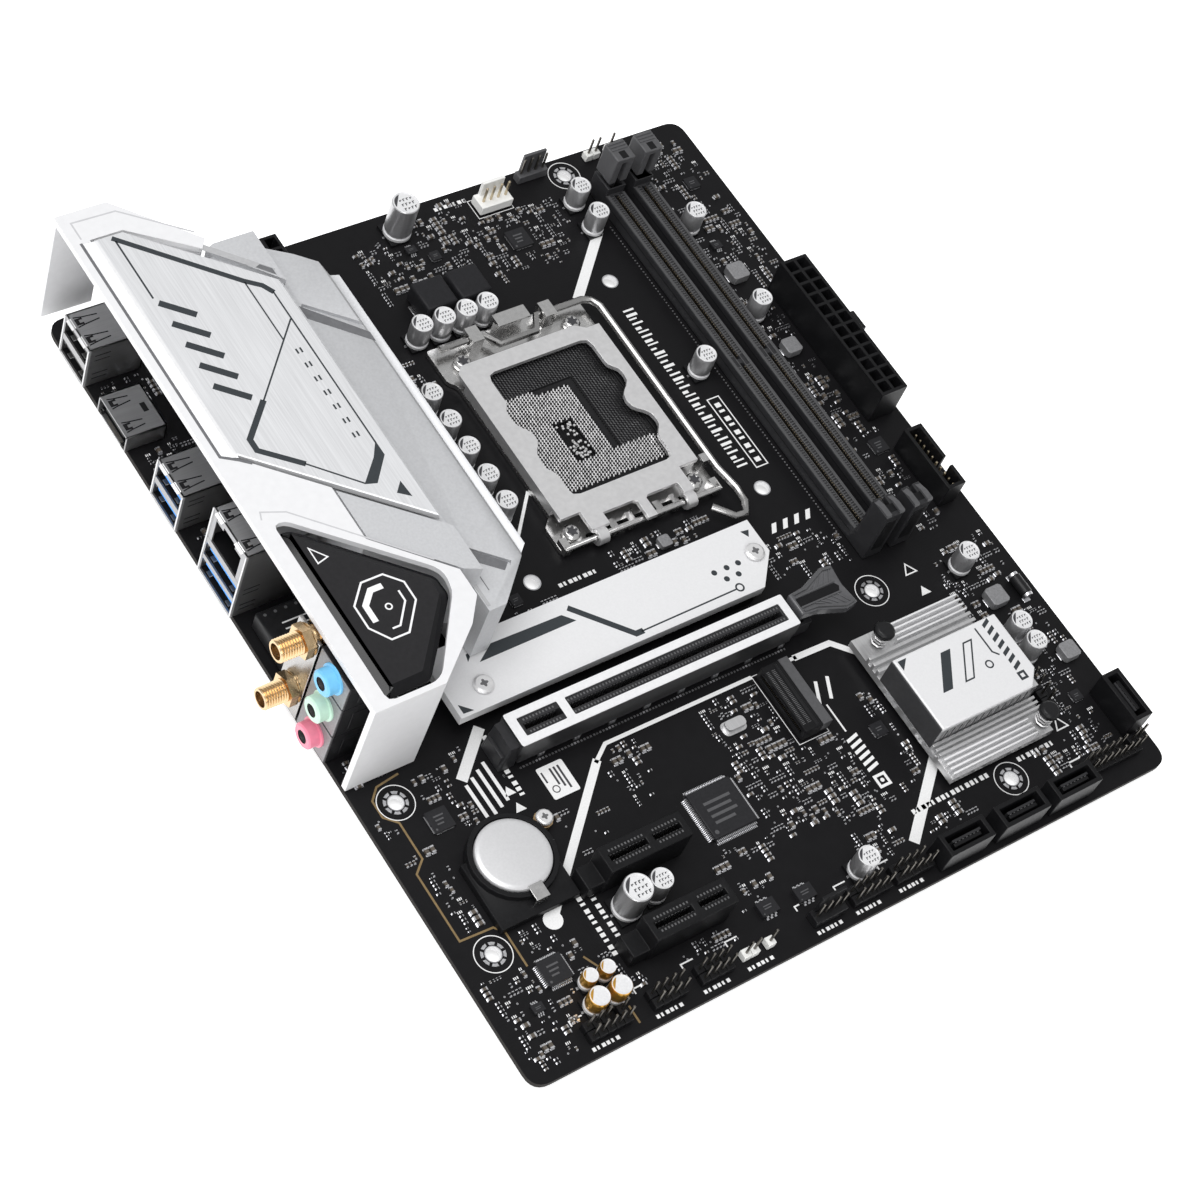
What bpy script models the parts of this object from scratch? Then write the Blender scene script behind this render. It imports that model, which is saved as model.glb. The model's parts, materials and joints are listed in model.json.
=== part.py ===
"""A small desktop motherboard as an assembly of separate solids, in metres, +Z up.

Board coordinates are millimetres: x runs from the rear edge, where the ports are, d runs down
from the top edge, and z is the height above the board's top face.
"""
import math

import bmesh
import bpy
from mathutils import Matrix, Vector

OBJECT_NAME = "motherboard"
MM = 0.001
GAP = 0.3                        # clearance between neighbouring solids

# Driving dimensions of the board
BOARD_WIDTH = 211.0
BOARD_DEPTH = 243.84
BOARD_THICKNESS = 1.6
BOARD_CORNER = 3.5
TAIL_LENGTH = 2.4                # soldered tails below the board's underside
REST_LEVEL = -BOARD_THICKNESS - TAIL_LENGTH
X_LOW = -10.3                    # tips of the antenna jacks
D_LOW = -4.5                     # outer face of the shroud's top wall

MOUNT_HOLES = ((10.16, 163.83), (10.16, 209.55), (33.02, 6.35),
               (165.1, 6.35), (165.1, 163.83), (165.1, 228.5))
MOUNT_HOLE_RADIUS = 2.0
COOLER_PITCH = 78.0
COOLER_HOLE_RADIUS = 2.1
COOLER_PAD_RADIUS = 4.4
PAD_HEIGHT = 0.1                 # plated ring around a cooler hole, above the board's top
SOLDER_ROWS = (                  # x low, x high, d low, d high
    (10.6, 12.0, 10.0, 22.0), (10.6, 12.0, 60.0, 71.0), (6.0, 7.4, 31.0, 44.0),
    (13.6, 15.0, 85.0, 100.0), (5.0, 6.4, 134.0, 146.0), (50.0, 64.5, 7.0, 8.4),
    (171.1, 172.5, 22.0, 146.0), (181.1, 182.5, 22.0, 146.0),
    (46.0, 128.0, 162.7, 164.1), (45.0, 67.0, 203.3, 204.7), (45.0, 67.0, 223.7, 225.1),
    (203.4, 204.8, 67.0, 115.0), (203.4, 204.8, 129.0, 147.0), (203.4, 204.8, 218.0, 231.0),
    (20.0, 124.0, 236.3, 237.7), (131.0, 181.0, 238.3, 239.7))

# Processor socket
SOCKET_X = 116.9
SOCKET_D = 83.9
LEVER_D = 50.3
LEVER_Z = 5.0
LEVER_DIAMETER = 2.2
CRANK_THROW = 4.6
PLATE_HINGE_D = 119.3
PLATE_HINGE_Z = 3.2
RAIL_RADIUS = 0.9
PLATE_LOW_Z = 4.9
PLATE_HIGH_Z = 6.3
SOCKET_SCREWS = ((97.4, 55.4), (134.4, 55.2), (94.7, 115.3), (136.4, 114.6))

# Memory, expansion and storage
MEMORY_X = (171.8, 181.8)
MEMORY_HALF_WIDTH = 3.2
MEMORY_HEIGHT = 5.5
TOWER_HEIGHT = 20.0
MEMORY_PIVOT_D = 16.5
MEMORY_PIVOT_Z = 4.0
GRAPHICS_D = 163.4
GRAPHICS_HEIGHT = 11.2
SHORT_SLOT_D = (204.0, 224.4)
LATCH_PIVOT_X = 134.6
LATCH_PIVOT_Z = 3.8
STORAGE_PORTS = ((129.0, 144.2), (148.2, 163.9), (167.4, 182.6))

# Rear ports and their shroud
PORT_FRONT = -1.0
SHROUD_TOP = 38.0
SHROUD_WALL = 1.8
ANTENNA_D = 128.7
ANTENNA_Z = (10.0, 32.0)
JACK_D = 140.6
JACK_Z = (6.5, 19.0, 31.3)

# Chipset
PUSH_PINS = ((152.9, 179.7), (180.9, 219.5))

for old in list(bpy.data.objects):
    bpy.data.objects.remove(old, do_unlink=True)


def new_collection(name):
    collection = bpy.data.collections.new(name)
    bpy.context.scene.collection.children.link(collection)
    return collection


PARTS = new_collection(OBJECT_NAME)
CUTTERS = new_collection(OBJECT_NAME + "_cutters")


def empty_at(name, x, d, z):
    """An empty in board coordinates: the board's own frame or a joint's axis."""
    empty = bpy.data.objects.new(name, None)
    PARTS.objects.link(empty)
    empty.empty_display_size = 5.0 * MM
    if name == "board_frame":
        empty.location = (-(X_LOW + BOARD_WIDTH) / 2 * MM, (D_LOW + BOARD_DEPTH) / 2 * MM,
                          -REST_LEVEL * MM)
    else:
        empty.parent = FRAME
        empty.location = (x * MM, -d * MM, z * MM)
    return empty


FRAME = empty_at("board_frame", 0.0, 0.0, 0.0)


def finish(name, colour, roughness, metallic=0.0):
    """A Principled material for one part."""
    material = bpy.data.materials.new(name)
    material.use_nodes = True
    shader = material.node_tree.nodes["Principled BSDF"]
    shader.inputs["Base Color"].default_value = (*colour, 1.0)
    shader.inputs["Roughness"].default_value = roughness
    shader.inputs["Metallic"].default_value = metallic
    return material


LAMINATE = (0.012, 0.012, 0.013)
BLACK = (0.02, 0.02, 0.022)
GREY = (0.16, 0.16, 0.17)
WHITE = (0.86, 0.86, 0.87)
SILVER = (0.78, 0.79, 0.80)
STEEL = (0.70, 0.70, 0.71)
GOLD = (0.83, 0.62, 0.30)


def add_object(name, mesh, location, material, collection, pivot=None):
    """Link a mesh object under the board's frame, or under the empty of its joint."""
    obj = bpy.data.objects.new(name, mesh)
    collection.objects.link(obj)
    obj.parent = pivot or FRAME
    offset = Vector(pivot.location) if pivot else Vector((0.0, 0.0, 0.0))
    obj.location = Vector(location) - offset
    if material:
        mesh.materials.append(material)
    if collection is CUTTERS:
        obj.hide_render = True
        obj.display_type = "WIRE"
    return obj


def mesh_from(name, bm):
    bmesh.ops.recalc_face_normals(bm, faces=bm.faces)
    mesh = bpy.data.meshes.new(name)
    bm.to_mesh(mesh)
    bm.free()
    return mesh


def add_box(bm, low, high):
    """A cube primitive scaled between two corners (x, d, z)."""
    size = [abs(b - a) for a, b in zip(low, high)]
    middle = [(a + b) / 2 for a, b in zip(low, high)]
    place = (Matrix.Translation((middle[0] * MM, -middle[1] * MM, middle[2] * MM))
             @ Matrix.Diagonal((size[0] * MM, size[1] * MM, size[2] * MM, 1.0)))
    bmesh.ops.create_cube(bm, size=1.0, matrix=place)


def block(name, low, high, material=None, bevel=0.0, pivot=None):
    """A box between two corners (x, d, z), with its origin at its middle."""
    middle = [(a + b) / 2 for a, b in zip(low, high)]
    bm = bmesh.new()
    add_box(bm, [a - m for a, m in zip(low, middle)], [b - m for b, m in zip(high, middle)])
    location = (middle[0] * MM, -middle[1] * MM, middle[2] * MM)
    obj = add_object(name, mesh_from(name, bm), location, material,
                     PARTS if material else CUTTERS, pivot)
    if bevel:
        soften(obj, bevel)
    return obj


def soften(obj, width, segments=1):
    bevel = obj.modifiers.new("edges", "BEVEL")
    bevel.width = width * MM
    bevel.segments = segments
    bevel.limit_method = "ANGLE"


def box_group(name, boxes):
    """Several boxes in one cutter mesh, each given by its two corners."""
    bm = bmesh.new()
    for low, high in boxes:
        add_box(bm, low, high)
    return add_object(name, mesh_from(name, bm), (0.0, 0.0, 0.0), None, CUTTERS)


def rod(name, centre, radius, length, axis, material=None, segments=16, pivot=None):
    """A cylinder primitive about X, Y or Z, centred on centre (x, d, z)."""
    bm = bmesh.new()
    bmesh.ops.create_cone(bm, cap_ends=True, segments=segments, radius1=radius * MM,
                          radius2=radius * MM, depth=length * MM)
    if axis == "X":
        bmesh.ops.rotate(bm, verts=bm.verts, matrix=Matrix.Rotation(math.pi / 2, 3, "Y"))
    if axis == "Y":
        bmesh.ops.rotate(bm, verts=bm.verts, matrix=Matrix.Rotation(math.pi / 2, 3, "X"))
    obj = add_object(name, mesh_from(name, bm), (centre[0] * MM, -centre[1] * MM, centre[2] * MM),
                     material, PARTS if material else CUTTERS, pivot)
    if material:
        smooth(obj)
    return obj


def smooth(obj):
    obj.data.shade_smooth()
    obj.data.set_sharp_from_angle(angle=math.radians(35))


def rounded(points, radius, steps=3):
    """Round every corner of a closed outline with an arc of about the given radius."""
    outline = []
    count = len(points)
    for index, corner in enumerate(points):
        here = Vector(corner)
        before = Vector(points[index - 1]) - here
        after = Vector(points[(index + 1) % count]) - here
        reach = min(radius, before.length * 0.45, after.length * 0.45)
        start = here + before.normalized() * reach
        end = here + after.normalized() * reach
        for step in range(steps + 1):
            t = step / steps
            outline.append(start * (1 - t) ** 2 + here * 2 * t * (1 - t) + end * t ** 2)
    return [tuple(point) for point in outline]


def rectangle(x_low, x_high, d_low, d_high):
    return [(x_low, d_low), (x_high, d_low), (x_high, d_high), (x_low, d_high)]


def circle(x, d, radius, segments=16):
    step = 2 * math.pi / segments
    return [(x + radius * math.cos(i * step), d + radius * math.sin(i * step))
            for i in range(segments)]


def band(path, width):
    """A closed outline along an open path, with the given width on the path's right side."""
    points = [Vector(point) for point in path]
    inner = []
    for index, here in enumerate(points):
        before = points[max(index - 1, 0)]
        after = points[min(index + 1, len(points) - 1)]
        first = (here - before).normalized() if index else (after - here).normalized()
        last = (after - here).normalized() if index < len(points) - 1 else first
        normal = Vector((-first.y - last.y, first.x + last.x)).normalized()
        stretch = max(normal.dot(Vector((-first.y, first.x))), 0.5)
        inner.append(here + normal * (width / stretch))
    return [tuple(point) for point in points + inner[::-1]]


def slab(name, outlines, z_low, z_high, material=None, pivot=None):
    """A flat outline, with holes if there are more outlines, raised from z_low to z_high."""
    curve = bpy.data.curves.new(name, "CURVE")
    curve.dimensions = "2D"
    curve.fill_mode = "BOTH"
    curve.extrude = (z_high - z_low) / 2 * MM
    for outline in outlines:
        spline = curve.splines.new("POLY")
        spline.points.add(len(outline) - 1)
        for point, (x, d) in zip(spline.points, outline):
            point.co = (x * MM, -d * MM, 0.0, 1.0)
        spline.use_cyclic_u = True
    holder = bpy.data.objects.new(name + "_outline", curve)
    return from_curve(name, holder, (0.0, 0.0, (z_low + z_high) / 2 * MM), material, pivot)


def from_curve(name, holder, location, material, pivot):
    """Turn a curve object into a closed mesh object and remove the curve."""
    PARTS.objects.link(holder)
    depsgraph = bpy.context.evaluated_depsgraph_get()
    raw = bpy.data.meshes.new_from_object(holder.evaluated_get(depsgraph))
    bm = bmesh.new()
    bm.from_mesh(raw)
    bmesh.ops.remove_doubles(bm, verts=bm.verts, dist=1e-6)
    mesh = mesh_from(name, bm)
    curve = holder.data
    bpy.data.objects.remove(holder)
    bpy.data.curves.remove(curve)
    bpy.data.meshes.remove(raw)
    return add_object(name, mesh, location, material, PARTS if material else CUTTERS, pivot)


def wire(name, path, diameter, material=None, pivot=None, resolution=1):
    """A round wire along points (x, d, z)."""
    curve = bpy.data.curves.new(name, "CURVE")
    curve.dimensions = "3D"
    curve.bevel_depth = diameter / 2 * MM
    curve.bevel_resolution = resolution
    curve.use_fill_caps = True
    spline = curve.splines.new("POLY")
    spline.points.add(len(path) - 1)
    for point, (x, d, z) in zip(spline.points, path):
        point.co = (x * MM, -d * MM, z * MM, 1.0)
    holder = bpy.data.objects.new(name + "_path", curve)
    offset = Vector(pivot.location) if pivot else Vector((0.0, 0.0, 0.0))
    obj = from_curve(name, holder, (0.0, 0.0, 0.0), material, pivot)
    if pivot:
        obj.data.transform(Matrix.Translation(-offset))
        obj.location = (0.0, 0.0, 0.0)
    smooth(obj)
    return obj


def turned(name, profile, x, d, material, steps=16):
    """A turned piece about +Z: profile points (radius, z) run from the top down."""
    mesh = bpy.data.meshes.new(name)
    points = [(radius * MM, 0.0, z * MM) for radius, z in profile]
    mesh.from_pydata(points, [(i, i + 1) for i in range(len(points) - 1)], [])
    obj = add_object(name, mesh, (x * MM, -d * MM, 0.0), material, PARTS)
    screw = obj.modifiers.new("turn", "SCREW")
    screw.axis = "Z"
    screw.steps = steps
    screw.render_steps = steps
    screw.use_merge_vertices = True
    screw.merge_threshold = 1e-5
    screw.use_smooth_shade = True
    return obj


def combine(target, tool, operation):
    boolean = target.modifiers.new(operation.lower(), "BOOLEAN")
    boolean.operation = operation
    boolean.solver = "EXACT"
    boolean.use_self = True
    boolean.object = tool
    return target


def subtract(target, *tools):
    for tool in tools:
        combine(target, tool, "DIFFERENCE")
    return target


def unite(target, *tools):
    for tool in tools:
        combine(target, tool, "UNION")
    return target


# The board ---------------------------------------------------------------------------------

def cooler_holes():
    half = COOLER_PITCH / 2
    return [(SOCKET_X + sx * half, SOCKET_D + sd * half) for sx in (-1, 1) for sd in (-1, 1)]


def make_board():
    outline = rounded(rectangle(0.0, BOARD_WIDTH, 0.0, BOARD_DEPTH), BOARD_CORNER)
    holes = [circle(x, d, MOUNT_HOLE_RADIUS) for x, d in MOUNT_HOLES]
    holes += [circle(x, d, COOLER_HOLE_RADIUS) for x, d in cooler_holes()]
    holes += [circle(x, d, 1.9, 12) for x, d in SOCKET_SCREWS]
    holes += [circle(x, d, 1.6, 12) for x, d in PUSH_PINS]
    board = slab("pcb", [outline] + holes, -BOARD_THICKNESS, 0.0,
                 finish("pcb", LAMINATE, 0.42))
    rows = [((x0, d0, REST_LEVEL), (x1, d1, -BOARD_THICKNESS / 2))
            for x0, x1, d0, d1 in SOLDER_ROWS]
    unite(board, box_group("solder_rows", rows))
    for number, (x, d) in enumerate(cooler_holes(), 1):
        ring = slab(f"cooler_ring_{number}", [circle(x, d, COOLER_PAD_RADIUS),
                                              circle(x, d, COOLER_HOLE_RADIUS)], -0.2, PAD_HEIGHT)
        unite(board, ring)


# Rear shroud and the regulator heatsink -------------------------------------------------------

COVER_OUTLINE = [(5.8, 6.0), (14.0, 6.0), (44.2, 34.2), (44.2, 114.2), (5.8, 78.0)]
BADGE_OUTLINE = [(4.6, 100.0), (7.8, 100.0), (35.2, 126.2), (36.4, 129.0), (35.6, 134.0),
                 (20.8, 153.0), (18.0, 154.4), (4.6, 154.4)]
BADGE_DROP = 1.6


def shroud_outline():
    return [(0.0, D_LOW), (15.0, D_LOW), (33.2, 15.2), (30.9, 18.0), (14.6, 5.3), (5.2, 5.3),
            (5.2, 78.4), (23.6, 95.9), (23.6, 112.4), (40.6, 129.4), (40.6, 137.5),
            (35.0, 144.2), (20.2, 155.9), (0.0, 155.9)]


def make_shroud():
    under = SHROUD_TOP - SHROUD_WALL
    shroud = slab("io_shroud", [shroud_outline()], under, SHROUD_TOP,
                  finish("io_shroud", WHITE, 0.38))
    top_wall = slab("shroud_top_wall", [band([(0.0, D_LOW), (15.0, D_LOW)], SHROUD_WALL)],
                    -0.5, SHROUD_TOP - 0.5)
    side_path = [(15.0, D_LOW), (33.2, 15.2)]
    side_wall = slab("shroud_side_wall", [band(side_path, SHROUD_WALL)], 14.0, SHROUD_TOP - 0.5)
    end_path = [(40.6, 129.4), (40.6, 137.5), (35.0, 144.2), (20.2, 155.9), (0.0, 155.9)]
    end_wall = slab("shroud_end_wall", [band(end_path, SHROUD_WALL)], 0.5, SHROUD_TOP - 0.5)
    unite(shroud, top_wall, side_wall, end_wall)
    window = slab("badge_window", [rounded(BADGE_OUTLINE, 2.0, 2)], under - 1.0, SHROUD_TOP + 1.0)
    drive_clearance = block("drive_cover_clearance", (31.5, 131.0, -1.0), (50.0, 158.0, 9.0))
    heatsink_clearance = block("heatsink_clearance", (36.5, 128.0, -1.0), (50.0, 139.6, 31.0))
    subtract(shroud, window, drive_clearance, heatsink_clearance)


def make_badge():
    """A gloss panel that sits in the shroud's window, a little below its face."""
    middle = Vector((17.5, 130.0))
    inset = [tuple(middle + (Vector(p) - middle) * 0.965) for p in BADGE_OUTLINE]
    top = SHROUD_TOP - BADGE_DROP
    slab("shroud_badge", [rounded(inset, 2.0, 2)], top - 1.6, top,
         finish("shroud_badge", (0.01, 0.01, 0.012), 0.12))


def make_heatsink():
    aluminium = finish("vrm_heatsink", SILVER, 0.34, 0.9)
    body = slab("vrm_heatsink", [[(24.4, 20.0), (34.6, 20.0), (46.0, 20.0), (46.0, 131.0),
                                  (41.5, 128.8), (24.4, 111.9)]], 12.0, 35.8, aluminium)
    corner = slab("heatsink_corner", [[(31.6, 18.4), (34.4, 17.2), (46.4, 17.2), (46.4, 34.6)]],
                  30.0, 37.6)
    step = slab("heatsink_step", [[(24.4, 96.8), (46.4, 117.4), (46.4, 131.4), (42.0, 129.4),
                                   (24.4, 111.9)]], 30.0, 37.4)
    strip = slab("heatsink_strip", [[(45.4, 18.2), (50.4, 18.2), (57.0, 22.9), (66.4, 31.7),
                                     (66.4, 124.4), (50.6, 139.2), (45.4, 139.2)]], 3.0, 30.0)
    unite(body, corner, step, strip)
    chamfer = block("heatsink_chamfer", (-4.0, -80.0, -6.0), (4.0, 80.0, 6.0))
    chamfer.location = (67.2 * MM, -78.0 * MM, 32.9 * MM)
    chamfer.rotation_euler = (0.0, math.radians(54.0), 0.0)
    grooves = box_group("heatsink_grooves", [])
    bm = bmesh.new()
    for x, d in ((58.4, 46.4), (54.2, 125.4)):
        reach = 11.4 if d < 100.0 else 5.6
        place = (Matrix.Translation((x * MM, -d * MM, 30.0 * MM))
                 @ Matrix.Rotation(math.radians(-43.0), 4, "Z")
                 @ Matrix.Diagonal((reach * 2 * MM, 1.4 * MM, 2.4 * MM, 1.0)))
        bmesh.ops.create_cube(bm, size=1.0, matrix=place)
    bm.to_mesh(grooves.data)
    bm.free()
    overhang = block("heatsink_overhang", (44.0, 132.6, 0.0), (60.0, 142.0, 8.6))
    subtract(body, chamfer, grooves, overhang)


def make_cover_plate():
    plate = slab("heatsink_cover_plate", [COVER_OUTLINE], 36.9, 38.6,
                 finish("heatsink_cover_plate", SILVER, 0.3, 0.9))
    soften(plate, 0.5)


# Processor socket -----------------------------------------------------------------------------

def make_socket():
    socket = block("cpu_socket", (95.9, 59.3, GAP), (137.9, 108.5, 3.9),
                   finish("cpu_socket", BLACK, 0.5))
    seat = block("socket_seat", (98.1, 61.4, 3.1), (135.7, 106.4, 5.0))
    groove = box_group("socket_groove", [((121.4, 71.4, 2.1), (123.2, 96.2, 4.0)),
                                         ((110.4, 71.4, 2.1), (123.2, 73.0, 4.0))])
    corner = block("socket_corner", (109.6, 83.5, 1.9), (115.6, 96.2, 4.0))
    subtract(socket, seat, groove, corner)


def make_socket_frame():
    steel = finish("socket_frame", STEEL, 0.3, 1.0)
    ring = rounded([(90.6, 47.6), (141.6, 47.6), (141.6, 58.4), (140.4, 61.0), (140.4, 106.4),
                    (142.7, 108.4), (142.7, 118.4), (134.2, 118.4), (134.2, 116.6), (98.6, 116.6),
                    (98.6, 119.0), (89.6, 119.0), (89.6, 110.6), (92.8, 107.6), (92.8, 61.4),
                    (90.6, 58.6)], 0.8, 2)
    opening = rounded(rectangle(95.3, 138.5, 58.7, 109.1), 1.5)
    holes = [circle(x, d, 1.9, 12) for x, d in SOCKET_SCREWS]
    frame = slab("socket_frame", [ring, opening] + holes, GAP, 1.8, steel)
    ears = box_group("frame_ears", [
        ((101.6, 47.8, 1.0), (105.4, 52.9, 7.1)),
        ((126.2, 47.8, 1.0), (130.0, 52.9, 7.1)),
        ((140.4, 109.4, 1.0), (142.7, 112.0, 6.6))])
    tab = box_group("frame_tab", [((111.6, 46.6, 1.0), (122.2, 48.2, 7.0)),
                                  ((111.6, 46.6, 5.8), (122.2, 50.8, 7.0))])
    bore = rod("shaft_bore", (116.0, LEVER_D, LEVER_Z), LEVER_DIAMETER / 2 + 0.4, 50.0, "X")
    posts = box_group("rail_posts", [
        ((x, 116.0, 1.0), (x + 2.2, PLATE_HINGE_D + 0.7, PLATE_HINGE_Z + 0.6))
        for x in (89.7, 105.6, 111.4, 120.8, 126.4, 140.3)])
    rails = rod("hinge_rail", (116.1, PLATE_HINGE_D, PLATE_HINGE_Z), RAIL_RADIUS, 52.0, "X",
                segments=10)
    unite(frame, ears, tab)
    subtract(frame, bore)
    unite(frame, posts, rails)


def plate_window():
    """The window's outline: two lobes on each side with a short inward tab between them."""
    left = [(99.6, 74.0), (97.8, 76.0), (97.8, 81.0), (100.9, 84.6), (100.9, 88.0),
            (97.8, 91.4), (97.8, 96.4), (99.6, 98.6)]
    right = [(133.8, 98.6), (136.4, 96.2), (136.4, 91.6), (132.0, 88.2), (132.0, 83.6),
             (136.4, 80.2), (136.4, 75.6), (133.8, 73.4)]
    corners = [(99.6, 107.0), (133.8, 107.0)]
    return rounded(left + corners + right + [(133.8, 63.2), (99.6, 63.2)], 2.6, 2)


def plate_outline():
    return [(94.4, 58.0), (132.4, 58.0), (135.4, 60.0), (139.7, 60.0), (139.7, 110.4),
            (133.2, 110.4), (133.2, 118.2), (129.7, 118.2), (129.7, 114.6), (119.6, 114.6),
            (118.6, 115.4), (118.6, 121.2), (115.6, 121.2), (115.6, 115.4), (114.6, 114.6),
            (104.5, 114.6), (104.5, 118.2), (98.7, 118.2), (98.7, 112.0), (92.3, 112.0),
            (92.3, 60.0)]


def make_load_plate():
    pivot = empty_at("load_plate_axis", 115.0, PLATE_HINGE_D, PLATE_HINGE_Z)
    plate = slab("load_plate", [plate_outline(), plate_window()], PLATE_LOW_Z, PLATE_HIGH_Z,
                 finish("load_plate", STEEL, 0.24, 1.0), pivot)
    flanges = box_group("plate_flanges", [
        ((92.3, 64.0, 2.7), (93.5, 108.0, PLATE_LOW_Z + 0.6)),
        ((138.5, 64.0, 2.7), (139.7, 106.0, PLATE_LOW_Z + 0.6))])
    unite(plate, flanges)
    for index, x in enumerate((101.6, 131.4)):
        collar = rod(f"hook_{index}", (x, PLATE_HINGE_D, PLATE_HINGE_Z), 2.4, 3.2, "X", segments=12)
        unite(plate, collar)
    inner = rod("hook_bore", (115.0, PLATE_HINGE_D, PLATE_HINGE_Z), RAIL_RADIUS + 0.45, 40.0,
                "X", segments=12)
    mouth = block("hook_mouth", (99.0, 116.0, 0.0), (134.0, PLATE_HINGE_D, PLATE_HINGE_Z))
    subtract(plate, inner, mouth)
    for tool in (flanges, inner, mouth, *[bpy.data.objects[f"hook_{i}"] for i in range(2)]):
        ride_pivot(tool, pivot)


def ride_pivot(tool, pivot):
    """Hang a cutter on the joint's empty so that it turns with the piece it shapes."""
    tool.parent = pivot
    tool.location = tool.location - pivot.location


def make_load_lever():
    pivot = empty_at("load_lever_axis", 118.0, LEVER_D, LEVER_Z)
    crank = LEVER_D + CRANK_THROW
    path = [(92.6, LEVER_D, LEVER_Z), (107.0, LEVER_D, LEVER_Z), (109.8, crank, LEVER_Z),
            (122.0, crank, LEVER_Z), (124.8, LEVER_D, LEVER_Z), (140.4, LEVER_D, LEVER_Z),
            (143.0, LEVER_D + 1.2, LEVER_Z), (144.3, LEVER_D + 4.0, LEVER_Z),
            (144.3, 114.0, 4.6), (145.7, 122.0, 4.4), (145.5, 126.6, 4.4), (143.2, 130.0, 4.4),
            (140.0, 129.6, 4.4), (135.4, 124.4, 4.4)]
    wire("load_lever", path, LEVER_DIAMETER, finish("load_lever", STEEL, 0.25, 1.0), pivot, 2)


def make_socket_backplate():
    outline = rounded(rectangle(88.6, 143.6, 49.2, 119.6), 5.0)
    opening = rounded(rectangle(105.0, 128.8, 72.0, 95.8), 3.0)
    holes = [circle(x, d, 1.9, 12) for x, d in SOCKET_SCREWS]
    slab("socket_backplate", [outline, opening] + holes, REST_LEVEL, -BOARD_THICKNESS - GAP,
         finish("socket_backplate", (0.25, 0.25, 0.26), 0.4, 1.0))


def make_socket_screws():
    low = REST_LEVEL + 0.2
    for number, (x, d) in enumerate(SOCKET_SCREWS, 1):
        profile = [(0.0, 3.2), (0.9, 3.2), (1.1, 4.1), (1.9, 4.1), (2.6, 3.4), (2.6, 2.2),
                   (1.5, 2.1), (1.5, low), (0.0, low)]
        turned(f"socket_screw_{number}", profile, x, d,
               finish(f"socket_screw_{number}", STEEL, 0.25, 1.0), 12)


# Memory ---------------------------------------------------------------------------------------

def make_memory_slot(letter, x):
    half = MEMORY_HALF_WIDTH
    slot = block(f"memory_slot_{letter}", (x - half, 13.5, GAP), (x + half, 154.4, MEMORY_HEIGHT),
                 finish(f"memory_slot_{letter}", BLACK, 0.45))
    towers = box_group(f"memory_towers_{letter}", [
        ((x - half, 13.5, 2.0), (x + half, 21.0, 8.4)),
        ((x - half, 147.8, 2.0), (x + half, 154.4, TOWER_HEIGHT))])
    unite(slot, towers)
    cuts = box_group(f"memory_cuts_{letter}", [
        ((x - 0.75, 21.5, 1.6), (x + 0.75, 85.6, 9.0)),
        ((x - 0.75, 87.2, 1.6), (x + 0.75, 147.0, 9.0)),
        ((x - 0.75, 147.0, 5.0), (x + 0.75, 150.6, TOWER_HEIGHT + 1.0)),
        ((x - 2.1, 12.5, 1.4), (x + 2.1, 20.6, 9.0))])
    subtract(slot, cuts)


def make_memory_latch(letter, x):
    pivot = empty_at(f"memory_latch_{letter}_axis", x, MEMORY_PIVOT_D, MEMORY_PIVOT_Z)
    half = MEMORY_HALF_WIDTH
    latch = block(f"memory_latch_{letter}", (x - half, 13.4, 9.8), (x + half, 20.4, TOWER_HEIGHT),
                  finish(f"memory_latch_{letter}", GREY, 0.45), 0.0, pivot)
    stem = block(f"latch_stem_{letter}", (x - 1.7, 14.6, MEMORY_PIVOT_Z), (x + 1.7, 18.4, 11.0),
                 None, 0.0, pivot)
    hub = rod(f"latch_hub_{letter}", (x, MEMORY_PIVOT_D, MEMORY_PIVOT_Z), 2.1, 3.4, "X",
              segments=12, pivot=pivot)
    channel = block(f"latch_channel_{letter}", (x - 0.8, 17.4, 9.0), (x + 0.8, 22.0, 18.0),
                    None, 0.0, pivot)
    unite(latch, stem, hub)
    subtract(latch, channel)


# Expansion slots --------------------------------------------------------------------------------

def make_graphics_slot():
    slot = block("graphics_slot", (43.5, GRAPHICS_D - 3.4, GAP), (131.0, GRAPHICS_D + 3.4, 10.9),
                 finish("graphics_slot", BLACK, 0.45))
    feet = box_group("graphics_feet", [
        ((38.2, GRAPHICS_D - 3.4, GAP), (44.0, GRAPHICS_D + 3.4, 6.0)),
        ((130.0, GRAPHICS_D - 3.4, GAP), (139.4, GRAPHICS_D + 3.4, 5.4))])
    cuts = box_group("graphics_cuts", [
        ((46.0, GRAPHICS_D - 0.9, 2.0), (57.6, GRAPHICS_D + 0.9, 12.0)),
        ((59.6, GRAPHICS_D - 0.9, 2.0), (129.0, GRAPHICS_D + 0.9, 12.0)),
        ((132.2, GRAPHICS_D - 2.5, 1.2), (137.2, GRAPHICS_D + 2.5, 12.0))])
    unite(slot, feet)
    subtract(slot, cuts)


def make_graphics_armour():
    armour = block("graphics_slot_armour", (43.1, GRAPHICS_D - 4.9, 2.4),
                   (131.4, GRAPHICS_D + 4.9, GRAPHICS_HEIGHT),
                   finish("graphics_slot_armour", SILVER, 0.28, 1.0))
    inner = block("armour_inner", (42.0, GRAPHICS_D - 3.75, 0.0), (132.0, GRAPHICS_D + 3.75, 20.0))
    subtract(armour, inner)
    straps = box_group("armour_straps", [
        ((42.3, GRAPHICS_D - 4.9, 6.4), (43.15, GRAPHICS_D + 4.9, GRAPHICS_HEIGHT)),
        ((131.35, GRAPHICS_D - 4.9, 6.0), (132.0, GRAPHICS_D + 4.9, GRAPHICS_HEIGHT))])
    unite(armour, straps)


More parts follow.
